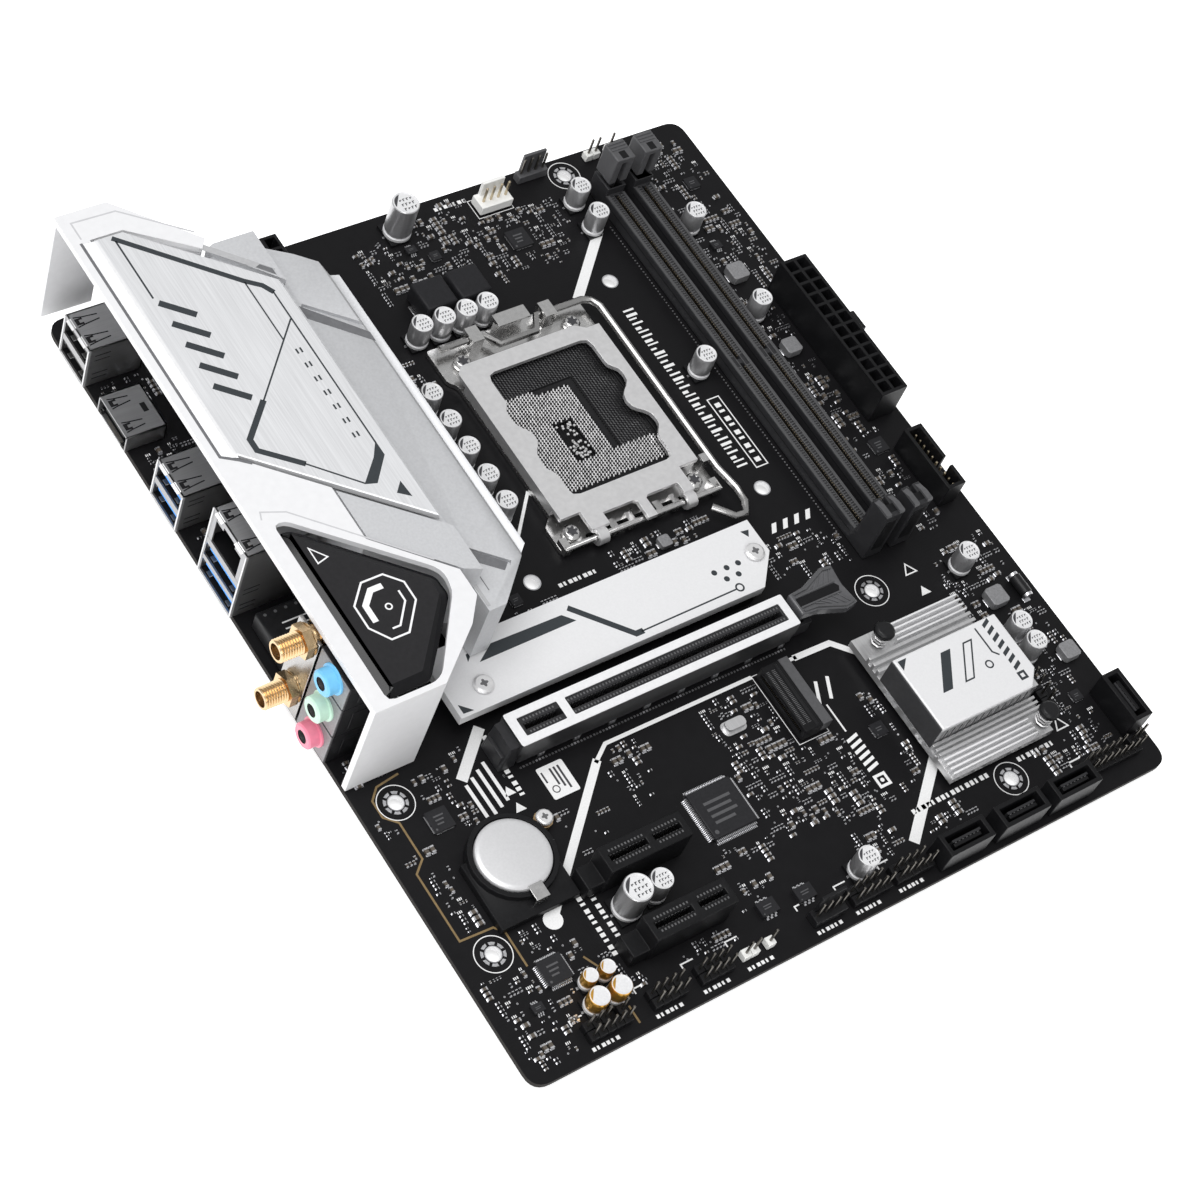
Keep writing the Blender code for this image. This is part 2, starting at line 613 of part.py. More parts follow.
def make_graphics_latch():
    pivot = empty_at("graphics_latch_axis", LATCH_PIVOT_X, GRAPHICS_D, LATCH_PIVOT_Z)
    latch = slab("graphics_latch", [[(133.2, 160.0), (138.0, 159.6), (146.4, 156.4),
                                     (150.2, 157.0), (149.4, 163.4), (150.2, 169.6),
                                     (146.4, 170.2), (138.0, 167.2), (133.2, 166.8)]],
                 9.6, 12.4, finish("graphics_latch", GREY, 0.4), pivot)
    hub = rod("latch_hub_graphics", (LATCH_PIVOT_X, GRAPHICS_D, LATCH_PIVOT_Z), 2.0, 4.4, "Y",
              segments=12, pivot=pivot)
    stem = block("latch_stem_graphics", (133.2, GRAPHICS_D - 2.2, LATCH_PIVOT_Z),
                 (136.4, GRAPHICS_D + 2.2, 10.4), None, 0.0, pivot)
    unite(latch, hub, stem)


def make_short_slot(number, d):
    slot = block(f"expansion_slot_{number}", (43.5, d - 3.7, GAP), (68.6, d + 3.7, GRAPHICS_HEIGHT),
                 finish(f"expansion_slot_{number}", BLACK, 0.45))
    foot = block(f"expansion_foot_{number}", (38.4, d - 3.2, GAP), (44.0, d + 3.2, 5.6))
    cuts = box_group(f"expansion_cuts_{number}", [
        ((45.2, d - 0.9, 2.0), (56.6, d + 0.9, 13.0)),
        ((58.6, d - 0.9, 2.0), (67.0, d + 0.9, 13.0))])
    unite(slot, foot)
    subtract(slot, cuts)


# Storage -----------------------------------------------------------------------------------------

def make_drive_heatsink():
    plate = slab("m2_heatsink", [[(34.0, 133.5), (139.8, 133.5), (139.8, 144.4), (131.6, 153.6),
                                  (34.0, 153.6)]], 4.9, 8.0,
                 finish("m2_heatsink", SILVER, 0.34, 0.9))
    for number, (x, d) in enumerate(((44.3, 147.6), (135.2, 143.3)), 1):
        subtract(plate, rod(f"m2_screw_hole_{number}", (x, d, 6.0), 1.6, 8.0, "Z", segments=12))
        profile = [(0.0, 9.3), (2.2, 9.3), (2.9, 8.8), (2.9, 8.3), (1.25, 8.25), (1.25, 0.6),
                   (0.0, 0.6)]
        turned(f"m2_heatsink_screw_{number}", profile, x, d,
               finish(f"m2_heatsink_screw_{number}", STEEL, 0.25, 1.0), 12)


def make_drive_slots():
    upper = block("m2_slot_upper", (122.0, 134.0, GAP), (130.6, 153.0, 4.5),
                  finish("m2_slot_upper", BLACK, 0.45))
    subtract(upper, block("m2_upper_mouth", (121.0, 135.0, 1.7), (126.4, 152.0, 3.1)))
    lower = block("m2_slot_lower", (117.4, 172.9, GAP), (126.2, 194.2, 5.0),
                  finish("m2_slot_lower", GREY, 0.45))
    subtract(lower, block("m2_lower_mouth", (116.0, 174.2, 1.9), (122.6, 192.8, 3.4)))


def make_drive_standoff():
    turned("m2_standoff", [(0.0, 0.8), (1.3, 0.8), (1.3, 2.5), (2.6, 2.5), (2.6, GAP),
                           (0.0, GAP)], 40.5, 184.6, finish("m2_standoff", GOLD, 0.3, 1.0), 12)
    turned("m2_standoff_screw", [(0.0, 4.0), (1.9, 4.0), (2.3, 3.6), (2.3, 2.8), (0.9, 2.8),
                                 (0.9, 1.2), (0.0, 1.2)], 40.5, 184.6,
           finish("m2_standoff_screw", STEEL, 0.25, 1.0), 12)


def make_storage_port(number, low, high):
    """An upright data port with its mouth on top and a blade inside."""
    x0, d0 = low
    x1, d1 = high
    port = block(f"sata_port_{number}", (x0, d0, GAP), (x1, d1, 9.0),
                 finish(f"sata_port_{number}", BLACK, 0.45))
    cavity = block(f"sata_cavity_{number}", (x0 + 1.3, d0 + 1.2, 2.5), (x1 - 1.3, d1 - 1.2, 10.0))
    if x1 - x0 > d1 - d0:
        middle = (d0 + d1) / 2
        blade = block(f"sata_blade_{number}", (x0 + 3.0, middle + 0.2, 0.0),
                      (x1 - 3.0, middle + 1.3, 8.2))
    else:
        middle = (x0 + x1) / 2
        blade = block(f"sata_blade_{number}", (middle + 0.2, d0 + 3.0, 0.0),
                      (middle + 1.3, d1 - 3.0, 8.2))
    subtract(cavity, blade)
    subtract(port, cavity)


# Power and headers ---------------------------------------------------------------------------------

def make_power_connector(name, low, high, columns, rows, height=12.5, nub=None):
    """A latched power header: a block with a grid of square cells open at the top."""
    body = block(name, (*low, GAP), (*high, height), finish(name, BLACK, 0.45))
    pitch = 4.2
    cell = 3.3
    x_mid = (low[0] + high[0]) / 2
    d_mid = (low[1] + high[1]) / 2
    cells = []
    for column in range(columns):
        for row in range(rows):
            x = x_mid + (column - (columns - 1) / 2) * pitch
            d = d_mid + (row - (rows - 1) / 2) * pitch
            cells.append(((x - cell / 2, d - cell / 2, 2.5), (x + cell / 2, d + cell / 2, 14.0)))
    if nub:
        unite(body, block(name + "_nub", *nub))
    subtract(body, box_group(name + "_cells", cells))


def make_front_header():
    header = block("usb3_front_header", (200.8, 127.0, GAP), (207.2, 149.0, 9.0),
                   finish("usb3_front_header", BLACK, 0.45))
    cavity = box_group("front_header_cavity", [
        ((201.9, 128.1, 1.8), (206.1, 147.9, 10.0)), ((205.5, 139.4, 3.2), (208.0, 142.4, 10.0))])
    subtract(header, cavity)


def make_fan_header():
    base = block("cpu_fan_header", (132.6, 5.2, GAP), (143.4, 10.6, 3.4),
                 finish("cpu_fan_header", WHITE, 0.5))
    unite(base, block("fan_header_wall", (134.2, 5.2, 1.0), (141.8, 6.3, 8.6)))


# Rear ports -----------------------------------------------------------------------------------------

def make_port(name, d_low, d_high, depth, height, mouths, material):
    """A metal-shelled port with mouths (z low, z high, tongue z, tongue thickness)."""
    port = block(name, (PORT_FRONT, d_low, GAP), (PORT_FRONT + depth, d_high, height), material)
    for index, (z_low, z_high, tongue, thickness) in enumerate(mouths):
        cavity = block(f"{name}_mouth_{index}", (PORT_FRONT - 1.0, d_low + 0.7, z_low),
                       (PORT_FRONT + 10.5, d_high - 0.7, z_high))
        if thickness:
            subtract(cavity, block(f"{name}_tongue_{index}", (PORT_FRONT + 0.5, d_low + 1.3, tongue),
                                   (PORT_FRONT + 12.0, d_high - 1.3, tongue + thickness)))
        subtract(port, cavity)
    return port


def make_rear_ports():
    shell = (0.62, 0.63, 0.64)
    make_port("usb2_stack", 9.5, 22.5, 17.0, 15.6,
              [(1.4, 6.6, 4.4, 1.5), (8.9, 14.2, 12.0, 1.5)],
              finish("usb2_stack", shell, 0.3, 1.0))
    make_port("video_port", 30.2, 45.0, 11.8, 6.2, [(1.2, 5.5, 2.8, 1.1)],
              finish("video_port", shell, 0.3, 1.0))
    make_port("usb3_stack", 59.0, 72.0, 17.0, 15.6,
              [(1.4, 6.6, 4.4, 1.6), (8.9, 14.2, 12.0, 1.6)],
              finish("usb3_stack", shell, 0.3, 1.0))
    make_port("lan_usb_stack", 84.0, 100.4, 21.0, 27.6,
              [(1.4, 6.6, 4.4, 1.6), (8.2, 13.4, 11.2, 1.6)],
              finish("lan_usb_stack", shell, 0.3, 1.0))
    stack = bpy.data.objects["lan_usb_stack"]
    subtract(stack, block("lan_mouth", (-3.0, 86.2, 15.6), (12.0, 98.2, 24.2)),
             block("lan_key", (-3.0, 89.4, 24.0), (9.0, 95.0, 26.2)))


def make_wireless():
    block("wireless_module", (2.6, 104.6, GAP), (22.0, 121.6, 6.4),
          finish("wireless_module", (0.2, 0.2, 0.21), 0.4, 0.8), 0.4)
    bracket = block("antenna_bracket", (-1.0, 123.2, GAP), (0.0, 132.9, 34.4),
                    finish("antenna_bracket", STEEL, 0.35, 1.0))
    foot = block("bracket_foot", (-1.0, 123.2, GAP), (9.0, 132.9, 1.3))
    unite(bracket, foot)
    for number, z in enumerate(ANTENNA_Z, 1):
        subtract(bracket, rod(f"bracket_hole_{number}", (0.0, ANTENNA_D, z), 3.4, 6.0, "X"))
        make_antenna_jack(number, z)


def make_antenna_jack(number, z):
    """A threaded coaxial jack with a hexagonal nut in front of the bracket."""
    jack = rod(f"antenna_jack_{number}", ((X_LOW + 5.0) / 2, ANTENNA_D, z), 3.05, 5.0 - X_LOW, "X",
               finish(f"antenna_jack_{number}", GOLD, 0.25, 1.0), 16)
    nut = rod(f"antenna_nut_{number}", (-2.7, ANTENNA_D, z), 4.6, 2.4, "X", segments=6)
    collar = rod(f"antenna_collar_{number}", (2.0, ANTENNA_D, z), 4.2, 2.6, "X", segments=6)
    unite(jack, nut, collar)
    bore = rod(f"antenna_bore_{number}", (X_LOW, ANTENNA_D, z), 2.2, 8.0, "X", segments=12)
    subtract(jack, bore)


def make_audio_block():
    body = block("audio_jack_block", (PORT_FRONT, 133.4, GAP), (13.0, 146.8, 34.4),
                 finish("audio_jack_block", BLACK, 0.5))
    for index, z in enumerate(JACK_Z):
        unite(body, rod(f"jack_barrel_{index}", (-2.0, JACK_D, z), 3.6, 3.4, "X"))
    for index, z in enumerate(JACK_Z):
        subtract(body, rod(f"jack_bore_{index}", (2.0, JACK_D, z), 1.8, 16.0, "X", segments=12))


# Battery --------------------------------------------------------------------------------------------

def make_battery():
    x, d = 27.0, 190.5
    holder = slab("battery_holder", [circle(x, d, 11.7, 28)], GAP, 4.7,
                  finish("battery_holder", BLACK, 0.5))
    feet = block("battery_feet", (x - 12.6, d - 4.0, GAP), (x + 10.8, d + 15.6, 2.6))
    unite(holder, feet)
    subtract(holder, rod("battery_pocket", (x, d, 7.0), 10.35, 10.0, "Z", segments=28))
    profile = [(0.0, 5.5), (9.2, 5.5), (10.0, 5.1), (10.0, 3.0), (8.6, 2.4), (0.0, 2.4)]
    turned("coin_cell", profile, x, d, finish("coin_cell", (0.8, 0.8, 0.81), 0.3, 1.0), 28)


# Chipset and its heatsink ----------------------------------------------------------------------------

def make_chipset():
    block("chipset_package", (153.6, 188.4, GAP), (177.6, 212.4, 1.9),
          finish("chipset_package", (0.03, 0.05, 0.04), 0.4))
    sink = block("chipset_heatsink", (146.2, 176.2, 2.3), (182.6, 223.0, 4.6),
                 finish("chipset_heatsink", SILVER, 0.36, 0.9))
    fins = [((146.8, 189.6, 4.0), (182.0, 212.2, 11.9))]
    for step in range(3):
        fins.append(((146.2, 183.2 + step * 2.1, 4.0), (182.6, 184.2 + step * 2.1, 6.6)))
        fins.append(((146.2, 215.6 - step * 1.5, 4.0), (182.6, 216.4 - step * 1.5, 6.6)))
    unite(sink, box_group("chipset_fins", fins))
    holes = [rod(f"pin_hole_{i}", (x, d, 4.0), 1.6, 8.0, "Z", segments=12)
             for i, (x, d) in enumerate(PUSH_PINS)]
    subtract(sink, *holes)
    slab("chipset_cover", [[(146.6, 189.4), (183.0, 189.4), (183.0, 208.0), (178.6, 212.6),
                            (146.6, 212.6)]], 12.2, 14.0,
         finish("chipset_cover", SILVER, 0.34, 0.9))


def coil(x, d, radius, z_low, z_high, turns, per_turn):
    count = turns * per_turn
    return [(x + radius * math.cos(2 * math.pi * i / per_turn),
             d + radius * math.sin(2 * math.pi * i / per_turn),
             z_low + (z_high - z_low) * i / count) for i in range(count + 1)]


def make_push_pins():
    for number, (x, d) in enumerate(PUSH_PINS, 1):
        profile = [(0.0, 11.6), (2.2, 11.6), (3.0, 10.8), (3.0, 9.6), (1.15, 9.6), (1.15, -2.0),
                   (1.4, -2.6), (0.4, -3.7), (0.0, -3.7)]
        turned(f"push_pin_{number}", profile, x, d, finish(f"push_pin_{number}", BLACK, 0.4), 12)
        wire(f"push_pin_spring_{number}", coil(x, d, 2.2, 5.3, 9.0, 3, 8), 0.6,
             finish(f"push_pin_spring_{number}", STEEL, 0.3, 1.0))


# Chips and coils ---------------------------------------------------------------------------------------

def make_chips():
    block("input_choke_1", (95.8, 28.4, GAP), (106.0, 38.6, 7.0),
          finish("input_choke_1", BLACK, 0.55), 0.5)
    block("input_choke_2", (107.2, 28.4, GAP), (117.4, 38.6, 7.0),
          finish("input_choke_2", BLACK, 0.55), 0.5)
    block("monitor_chip", (78.4, 194.6, GAP), (92.4, 208.6, 1.8),
          finish("monitor_chip", BLACK, 0.4), 0.2)


make_board()
make_shroud()
make_badge()
make_heatsink()
make_cover_plate()
make_socket()
make_socket_frame()
make_load_plate()
make_load_lever()
make_socket_backplate()
make_socket_screws()
for side, centre in zip("ab", MEMORY_X):
    make_memory_slot(side, centre)
    make_memory_latch(side, centre)
make_graphics_slot()
make_graphics_armour()
make_graphics_latch()
for slot_number, slot_d in enumerate(SHORT_SLOT_D, 1):
    make_short_slot(slot_number, slot_d)
make_drive_heatsink()
make_drive_slots()
make_drive_standoff()
for port_number, (x_from, x_to) in enumerate(STORAGE_PORTS, 1):
    make_storage_port(port_number, (x_from, 235.7), (x_to, 242.3))
make_storage_port(4, (203.3, 216.7), (209.7, 232.4))
make_power_connector("power_connector_24", (199.3, 65.0), (208.7, 116.5), 2, 12,
                     nub=((208.0, 87.6, 7.0), (210.3, 94.0, 12.0)))
make_power_connector("power_connector_8", (48.6, 3.2), (66.2, 12.6), 4, 2)
make_front_header()
make_fan_header()
make_rear_ports()
make_wireless()
make_audio_block()
make_battery()
make_chipset()
make_push_pins()
make_chips()
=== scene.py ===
import json
import math
import random

import bmesh
import bpy
from mathutils import Matrix, Vector, geometry

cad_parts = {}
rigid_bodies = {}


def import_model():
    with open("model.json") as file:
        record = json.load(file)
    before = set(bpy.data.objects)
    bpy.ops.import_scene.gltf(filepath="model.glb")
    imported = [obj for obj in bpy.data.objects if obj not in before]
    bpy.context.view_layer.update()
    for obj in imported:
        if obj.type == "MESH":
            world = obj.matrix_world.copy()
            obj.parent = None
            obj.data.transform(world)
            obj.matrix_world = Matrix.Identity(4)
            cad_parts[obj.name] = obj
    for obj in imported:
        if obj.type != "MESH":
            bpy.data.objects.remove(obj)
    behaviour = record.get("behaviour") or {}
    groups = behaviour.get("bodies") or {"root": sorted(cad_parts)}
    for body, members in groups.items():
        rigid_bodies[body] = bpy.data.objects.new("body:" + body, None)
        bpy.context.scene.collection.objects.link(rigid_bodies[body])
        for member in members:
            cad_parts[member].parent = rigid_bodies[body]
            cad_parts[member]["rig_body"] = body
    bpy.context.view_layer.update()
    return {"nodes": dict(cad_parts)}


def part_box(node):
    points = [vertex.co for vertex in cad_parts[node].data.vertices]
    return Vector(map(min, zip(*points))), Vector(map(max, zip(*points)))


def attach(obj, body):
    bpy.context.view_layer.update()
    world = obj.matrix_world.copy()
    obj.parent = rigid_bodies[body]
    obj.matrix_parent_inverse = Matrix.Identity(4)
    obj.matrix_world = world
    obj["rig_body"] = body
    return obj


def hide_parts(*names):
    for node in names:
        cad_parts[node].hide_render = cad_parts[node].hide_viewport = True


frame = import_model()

MM = 0.001
BOARD_LOW, BOARD_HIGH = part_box("pcb")
PAD_HEIGHT = 0.1                         # plated rings round the cooler holes, over the board
TOP = BOARD_HIGH.z - PAD_HEIGHT * MM     # the board's component face
WIDTH = (BOARD_HIGH.x - BOARD_LOW.x) / MM
DEPTH = (BOARD_HIGH.y - BOARD_LOW.y) / MM
THICKNESS = 1.6
# Board millimetres (x from the rear edge, -d from the top edge, z over the board) to metres
TO_ROW = Matrix.Translation((BOARD_LOW.x, BOARD_HIGH.y, TOP)) @ Matrix.Diagonal((MM, MM, MM, 1.0))
INK = 0.03                               # height of printed lines over the surface they are on
TINY = 1e-6


def edges(node):
    """A CAD node's box in board millimetres: x low, x high, d low, d high, z low, z high."""
    low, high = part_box(node)
    return ((low.x - BOARD_LOW.x) / MM, (high.x - BOARD_LOW.x) / MM,
            (BOARD_HIGH.y - high.y) / MM, (BOARD_HIGH.y - low.y) / MM,
            (low.z - TOP) / MM, (high.z - TOP) / MM)


# Materials ---------------------------------------------------------------------------------------

def finish(name, colour, rough, metal=0.0, vary=0.10, grain=900.0, bump=0.15, depth=0.02,
           stretch=(1.0, 1.0, 1.0), rough_vary=0.08, coat=0.0, shine=0.5):
    """A procedural material: noise varies its colour and roughness, and a finer noise its relief."""
    material = bpy.data.materials.new(name)
    material.use_nodes = True
    nodes, links = material.node_tree.nodes, material.node_tree.links
    shader = nodes["Principled BSDF"]
    shader.inputs["Metallic"].default_value = metal
    shader.inputs["Coat Weight"].default_value = coat
    shader.inputs["Specular IOR Level"].default_value = shine
    place = nodes.new("ShaderNodeTexCoord")
    mapping = nodes.new("ShaderNodeMapping")
    mapping.inputs["Scale"].default_value = stretch
    links.new(place.outputs["Object"], mapping.inputs["Vector"])
    noise = nodes.new("ShaderNodeTexNoise")
    noise.inputs["Scale"].default_value = grain
    noise.inputs["Detail"].default_value = 4.0
    links.new(mapping.outputs["Vector"], noise.inputs["Vector"])
    ramp = nodes.new("ShaderNodeValToRGB")
    ramp.color_ramp.elements[0].position = 0.3
    ramp.color_ramp.elements[1].position = 0.7
    ramp.color_ramp.elements[0].color = (*[c * (1 - vary) for c in colour], 1.0)
    ramp.color_ramp.elements[1].color = (*[min(c * (1 + vary), 1.0) for c in colour], 1.0)
    links.new(noise.outputs["Fac"], ramp.inputs["Fac"])
    links.new(ramp.outputs["Color"], shader.inputs["Base Color"])
    uneven = nodes.new("ShaderNodeMapRange")
    uneven.inputs["To Min"].default_value = max(rough - rough_vary, 0.02)
    uneven.inputs["To Max"].default_value = rough + rough_vary
    links.new(noise.outputs["Fac"], uneven.inputs["Value"])
    links.new(uneven.outputs["Result"], shader.inputs["Roughness"])
    fine = nodes.new("ShaderNodeTexNoise")
    fine.inputs["Scale"].default_value = grain * 3.0
    fine.inputs["Detail"].default_value = 2.0
    links.new(mapping.outputs["Vector"], fine.inputs["Vector"])
    relief = nodes.new("ShaderNodeBump")
    relief.inputs["Strength"].default_value = bump
    relief.inputs["Distance"].default_value = depth * MM
    links.new(fine.outputs["Fac"], relief.inputs["Height"])
    links.new(relief.outputs["Normal"], shader.inputs["Normal"])
    return material


def solder_mask():
    """Black mask over copper: faint traces in two directions, chosen by cells, under the gloss."""
    material = finish("solder_mask", (0.0068, 0.0066, 0.0074), 0.42, vary=0.08, grain=350.0,
                      bump=0.1, rough_vary=0.05, shine=0.14)
    nodes, links = material.node_tree.nodes, material.node_tree.links
    shader = nodes["Principled BSDF"]
    ramp = next(n for n in nodes if n.type == "VALTORGB")
    place = next(n for n in nodes if n.type == "TEX_COORD")

    def above(socket, level):
        compare = nodes.new("ShaderNodeMath")
        compare.operation = "GREATER_THAN"
        compare.inputs[1].default_value = level
        links.new(socket, compare.inputs[0])
        return compare.outputs["Value"]

    waves = []
    for direction in ("X", "Y"):
        wave = nodes.new("ShaderNodeTexWave")
        wave.bands_direction = direction
        wave.inputs["Scale"].default_value = 330.0
        wave.inputs["Distortion"].default_value = 0.0
        links.new(place.outputs["Object"], wave.inputs["Vector"])
        waves.append(wave)
    cells = nodes.new("ShaderNodeTexVoronoi")
    cells.distance = "CHEBYCHEV"
    cells.inputs["Scale"].default_value = 62.0
    links.new(place.outputs["Object"], cells.inputs["Vector"])
    split = nodes.new("ShaderNodeSeparateColor")
    links.new(cells.outputs["Color"], split.inputs["Color"])
    lines = nodes.new("ShaderNodeMix")
    links.new(above(split.outputs["Red"], 0.5), lines.inputs["Factor"])
    links.new(waves[0].outputs["Fac"], lines.inputs["A"])
    links.new(waves[1].outputs["Fac"], lines.inputs["B"])
    both = nodes.new("ShaderNodeMath")
    both.operation = "MULTIPLY"
    links.new(above(lines.outputs["Result"], 0.72), both.inputs[0])
    links.new(above(split.outputs["Green"], 0.55), both.inputs[1])
    mix = nodes.new("ShaderNodeMix")
    mix.data_type = "RGBA"
    mix.inputs["B"].default_value = (0.0072, 0.0071, 0.0079, 1.0)
    links.new(both.outputs["Value"], mix.inputs["Factor"])
    links.new(ramp.outputs["Color"], mix.inputs["A"])
    links.new(mix.outputs["Result"], shader.inputs["Base Color"])
    return material


def brushed(name, colour, rough, metal, along, bump=0.25):
    """Brushed metal: a noise drawn out along the brushing direction, X or Y."""
    stretch = (0.02, 1.0, 1.0) if along == "X" else (1.0, 0.02, 1.0)
    return finish(name, colour, rough, metal, vary=0.07, grain=2600.0, bump=bump, depth=0.015,
                  stretch=stretch, rough_vary=0.07)


MASK = solder_mask()
LAMINATE_EDGE = finish("laminate_edge", (0.016, 0.014, 0.012), 0.7, shine=0.2)
PRINT = finish("board_print", (0.80, 0.80, 0.80), 0.6, vary=0.06, grain=2500.0, bump=0.2)
GOLD_LINE = finish("isolation_line", (0.20, 0.135, 0.055), 0.45, vary=0.12)
TIN = finish("tin_pad", (0.74, 0.74, 0.76), 0.28, 1.0, vary=0.12, grain=1800.0)
SOLDER = finish("solder", (0.66, 0.66, 0.68), 0.34, 1.0, vary=0.12, grain=1500.0, bump=0.2)
SHROUD_WHITE = finish("shroud_white", (0.74, 0.74, 0.752), 0.40, vary=0.02, grain=500.0,
                      bump=0.25, depth=0.01)
# Painted shade: grey standing for the shade in the white cover's embossed creases.
SHROUD_CREASE_SHADE = finish("shroud_crease_shading", (0.52, 0.52, 0.535), 0.5, vary=0.03, grain=500.0)
BADGE_PANEL = finish("badge_panel", (0.015, 0.0145, 0.016), 0.22, vary=0.1, bump=0.02,
                     rough_vary=0.03, shine=0.35)
BADGE_BLACK = finish("badge_black", (0.004, 0.004, 0.005), 0.09, vary=0.2, bump=0.02,
                     rough_vary=0.03, shine=0.3)
BADGE_LINE = finish("badge_line", (0.85, 0.85, 0.86), 0.3, vary=0.03)
ALU_Y = brushed("brushed_aluminium_long", (0.80, 0.805, 0.82), 0.42, 0.55, "Y", 0.12)
ALU_SIDE = finish("blasted_aluminium", (0.60, 0.605, 0.62), 0.5, 0.45, vary=0.05, grain=1400.0,
                  bump=0.25)
# Painted shade: darker aluminium for chamfers, sides and step lines that face away from the light.
ALU_CHAMFER_SHADE = finish("aluminium_chamfer_shade", (0.42, 0.422, 0.43), 0.75, vary=0.05, grain=1400.0,
                  bump=0.25, shine=0.05)
# Painted shade: dark grey standing for the shade in grooves, gaps and slots.
ALU_SHADE = finish("aluminium_groove_shade", (0.15, 0.152, 0.16), 0.5, 0.2)
ALU_DARK = finish("aluminium_shadow", (0.055, 0.055, 0.058), 0.5, 0.2, shine=0.3)
RING_WHITE = finish("armour_ring", (0.86, 0.86, 0.87), 0.34, 0.25, vary=0.03, grain=1200.0,
                    bump=0.1)
ARMOUR_SIDE = finish("armour_side", (0.035, 0.035, 0.037), 0.36, 0.3, vary=0.1, shine=0.4)
PLATE_WHITE = finish("satin_plate", (0.77, 0.77, 0.78), 0.46, 0.2, vary=0.02, grain=1800.0,
                     bump=0.12)
RAIL_GREY = finish("slot_rail", (0.060, 0.060, 0.063), 0.40, vary=0.10, grain=1400.0, bump=0.2)
SLATE = finish("slate_ink", (0.022, 0.028, 0.033), 0.5, vary=0.1, grain=1500.0)
NICKEL = finish("nickel_steel", (0.88, 0.875, 0.88), 0.34, 0.7, vary=0.03, grain=700.0,
                bump=0.10, rough_vary=0.05)
NICKEL_DARK = finish("nickel_worn", (0.66, 0.655, 0.65), 0.25, 1.0, vary=0.06, grain=900.0,
                     bump=0.08)
SHELL = brushed("port_shell", (0.34, 0.34, 0.345), 0.32, 0.9, "X", 0.12)
SHELL_BRIGHT = brushed("port_frame", (0.68, 0.68, 0.685), 0.34, 0.8, "Y", 0.12)
# Painted shade: near black standing for the shade inside the ports' spring slots and openings.
PORT_SLOT_SHADE = finish("port_opening_shade", (0.008, 0.008, 0.009), 0.6, vary=0.1, shine=0.15)
# Painted shade: dark grey standing for the shade inside holes and screw recesses.
HOLE_SHADE = finish("recess_and_hole_shade", (0.16, 0.16, 0.165), 0.5, 0.6)
BLACK = finish("connector_black", (0.006, 0.006, 0.0068), 0.44, vary=0.18, grain=1600.0,
               bump=0.3, shine=0.2)
BLACK_SATIN = finish("satin_black", (0.010, 0.010, 0.011), 0.34, vary=0.15, grain=1200.0,
                     shine=0.25)
SLOT_GREY = finish("slot_grey", (0.022, 0.022, 0.024), 0.42, vary=0.12, grain=1400.0,
                   bump=0.25, shine=0.3)
PLATE_STEEL = finish("load_plate_steel", (0.83, 0.825, 0.83), 0.34, 0.8, vary=0.04, grain=700.0,
                     bump=0.1)
LEVER_STEEL = finish("lever_steel", (0.42, 0.415, 0.41), 0.28, 1.0, vary=0.06, grain=900.0)
LATCH_GREY = finish("latch_grey", (0.075, 0.075, 0.079), 0.40, vary=0.10, grain=1200.0, bump=0.25)
SMOKE = finish("smoke_latch", (0.085, 0.085, 0.09), 0.24, vary=0.14, grain=300.0, coat=0.3)
NYLON = finish("white_nylon", (0.80, 0.80, 0.78), 0.5, vary=0.05, grain=900.0)
BLUE = finish("port_blue", (0.008, 0.30, 0.92), 0.35, vary=0.08)
GOLD = finish("gold_plate", (0.68, 0.49, 0.28), 0.25, 1.0, vary=0.10, grain=700.0)
CONTACT = finish("contact_gold", (0.62, 0.53, 0.38), 0.3, 1.0, vary=0.15, grain=1800.0)
CONTACT_DARK = finish("contact_shaded", (0.20, 0.20, 0.205), 0.36, 0.9, vary=0.2, grain=1800.0)
PIN_DARK = finish("header_pin", (0.17, 0.16, 0.145), 0.32, 1.0, vary=0.15, grain=1500.0)
CONTACT_TIN = finish("contact_tin", (0.60, 0.60, 0.61), 0.32, 1.0, vary=0.2, grain=1800.0)
SPRING_TIN = finish("socket_spring", (0.86, 0.855, 0.86), 0.36, 0.75, vary=0.12, grain=2600.0)
CAN = brushed("capacitor_can", (0.56, 0.56, 0.57), 0.34, 0.85, "X", 0.1)
CAN_TOP = finish("capacitor_top", (0.78, 0.78, 0.79), 0.42, 0.25, vary=0.05, grain=1800.0)
# Black for printed marks, and also painted shade in the socket's screw recesses.
MARK_AND_SHADE_BLACK = finish("black_mark_and_recess_shade", (0.05, 0.05, 0.055), 0.5, shine=0.3)
CAN_BASE = finish("capacitor_base", (0.62, 0.62, 0.63), 0.5, 0.2, vary=0.08)
GOLD_CAN = finish("gold_capacitor", (0.72, 0.39, 0.07), 0.30, 0.85, vary=0.12, grain=800.0)
CELL = finish("cell_steel", (0.66, 0.66, 0.67), 0.38, 0.4, vary=0.03, grain=1600.0, bump=0.1)
FERRITE = finish("pressed_powder", (0.012, 0.012, 0.014), 0.6, vary=0.2, grain=1500.0, bump=0.6,
                 shine=0.25)
COIL_GREY = finish("coil_grey", (0.26, 0.26, 0.268), 0.5, 0.4, vary=0.15, grain=1800.0, bump=0.6)
EPOXY = finish("chip_epoxy", (0.015, 0.015, 0.017), 0.5, vary=0.15, grain=1500.0, bump=0.35,
               shine=0.25)
CERAMIC = finish("ceramic", (0.085, 0.07, 0.055), 0.5, vary=0.2, grain=600.0)
PARTS_DARK = finish("resistor_black", (0.012, 0.012, 0.014), 0.4, vary=0.2, shine=0.25)
SKY = finish("jack_blue", (0.16, 0.50, 0.80), 0.35, vary=0.05)
MINT = finish("jack_green", (0.52, 0.74, 0.60), 0.35, vary=0.05)
PINK = finish("jack_pink", (0.80, 0.22, 0.32), 0.35, vary=0.05)


# Building ----------------------------------------------------------------------------------------

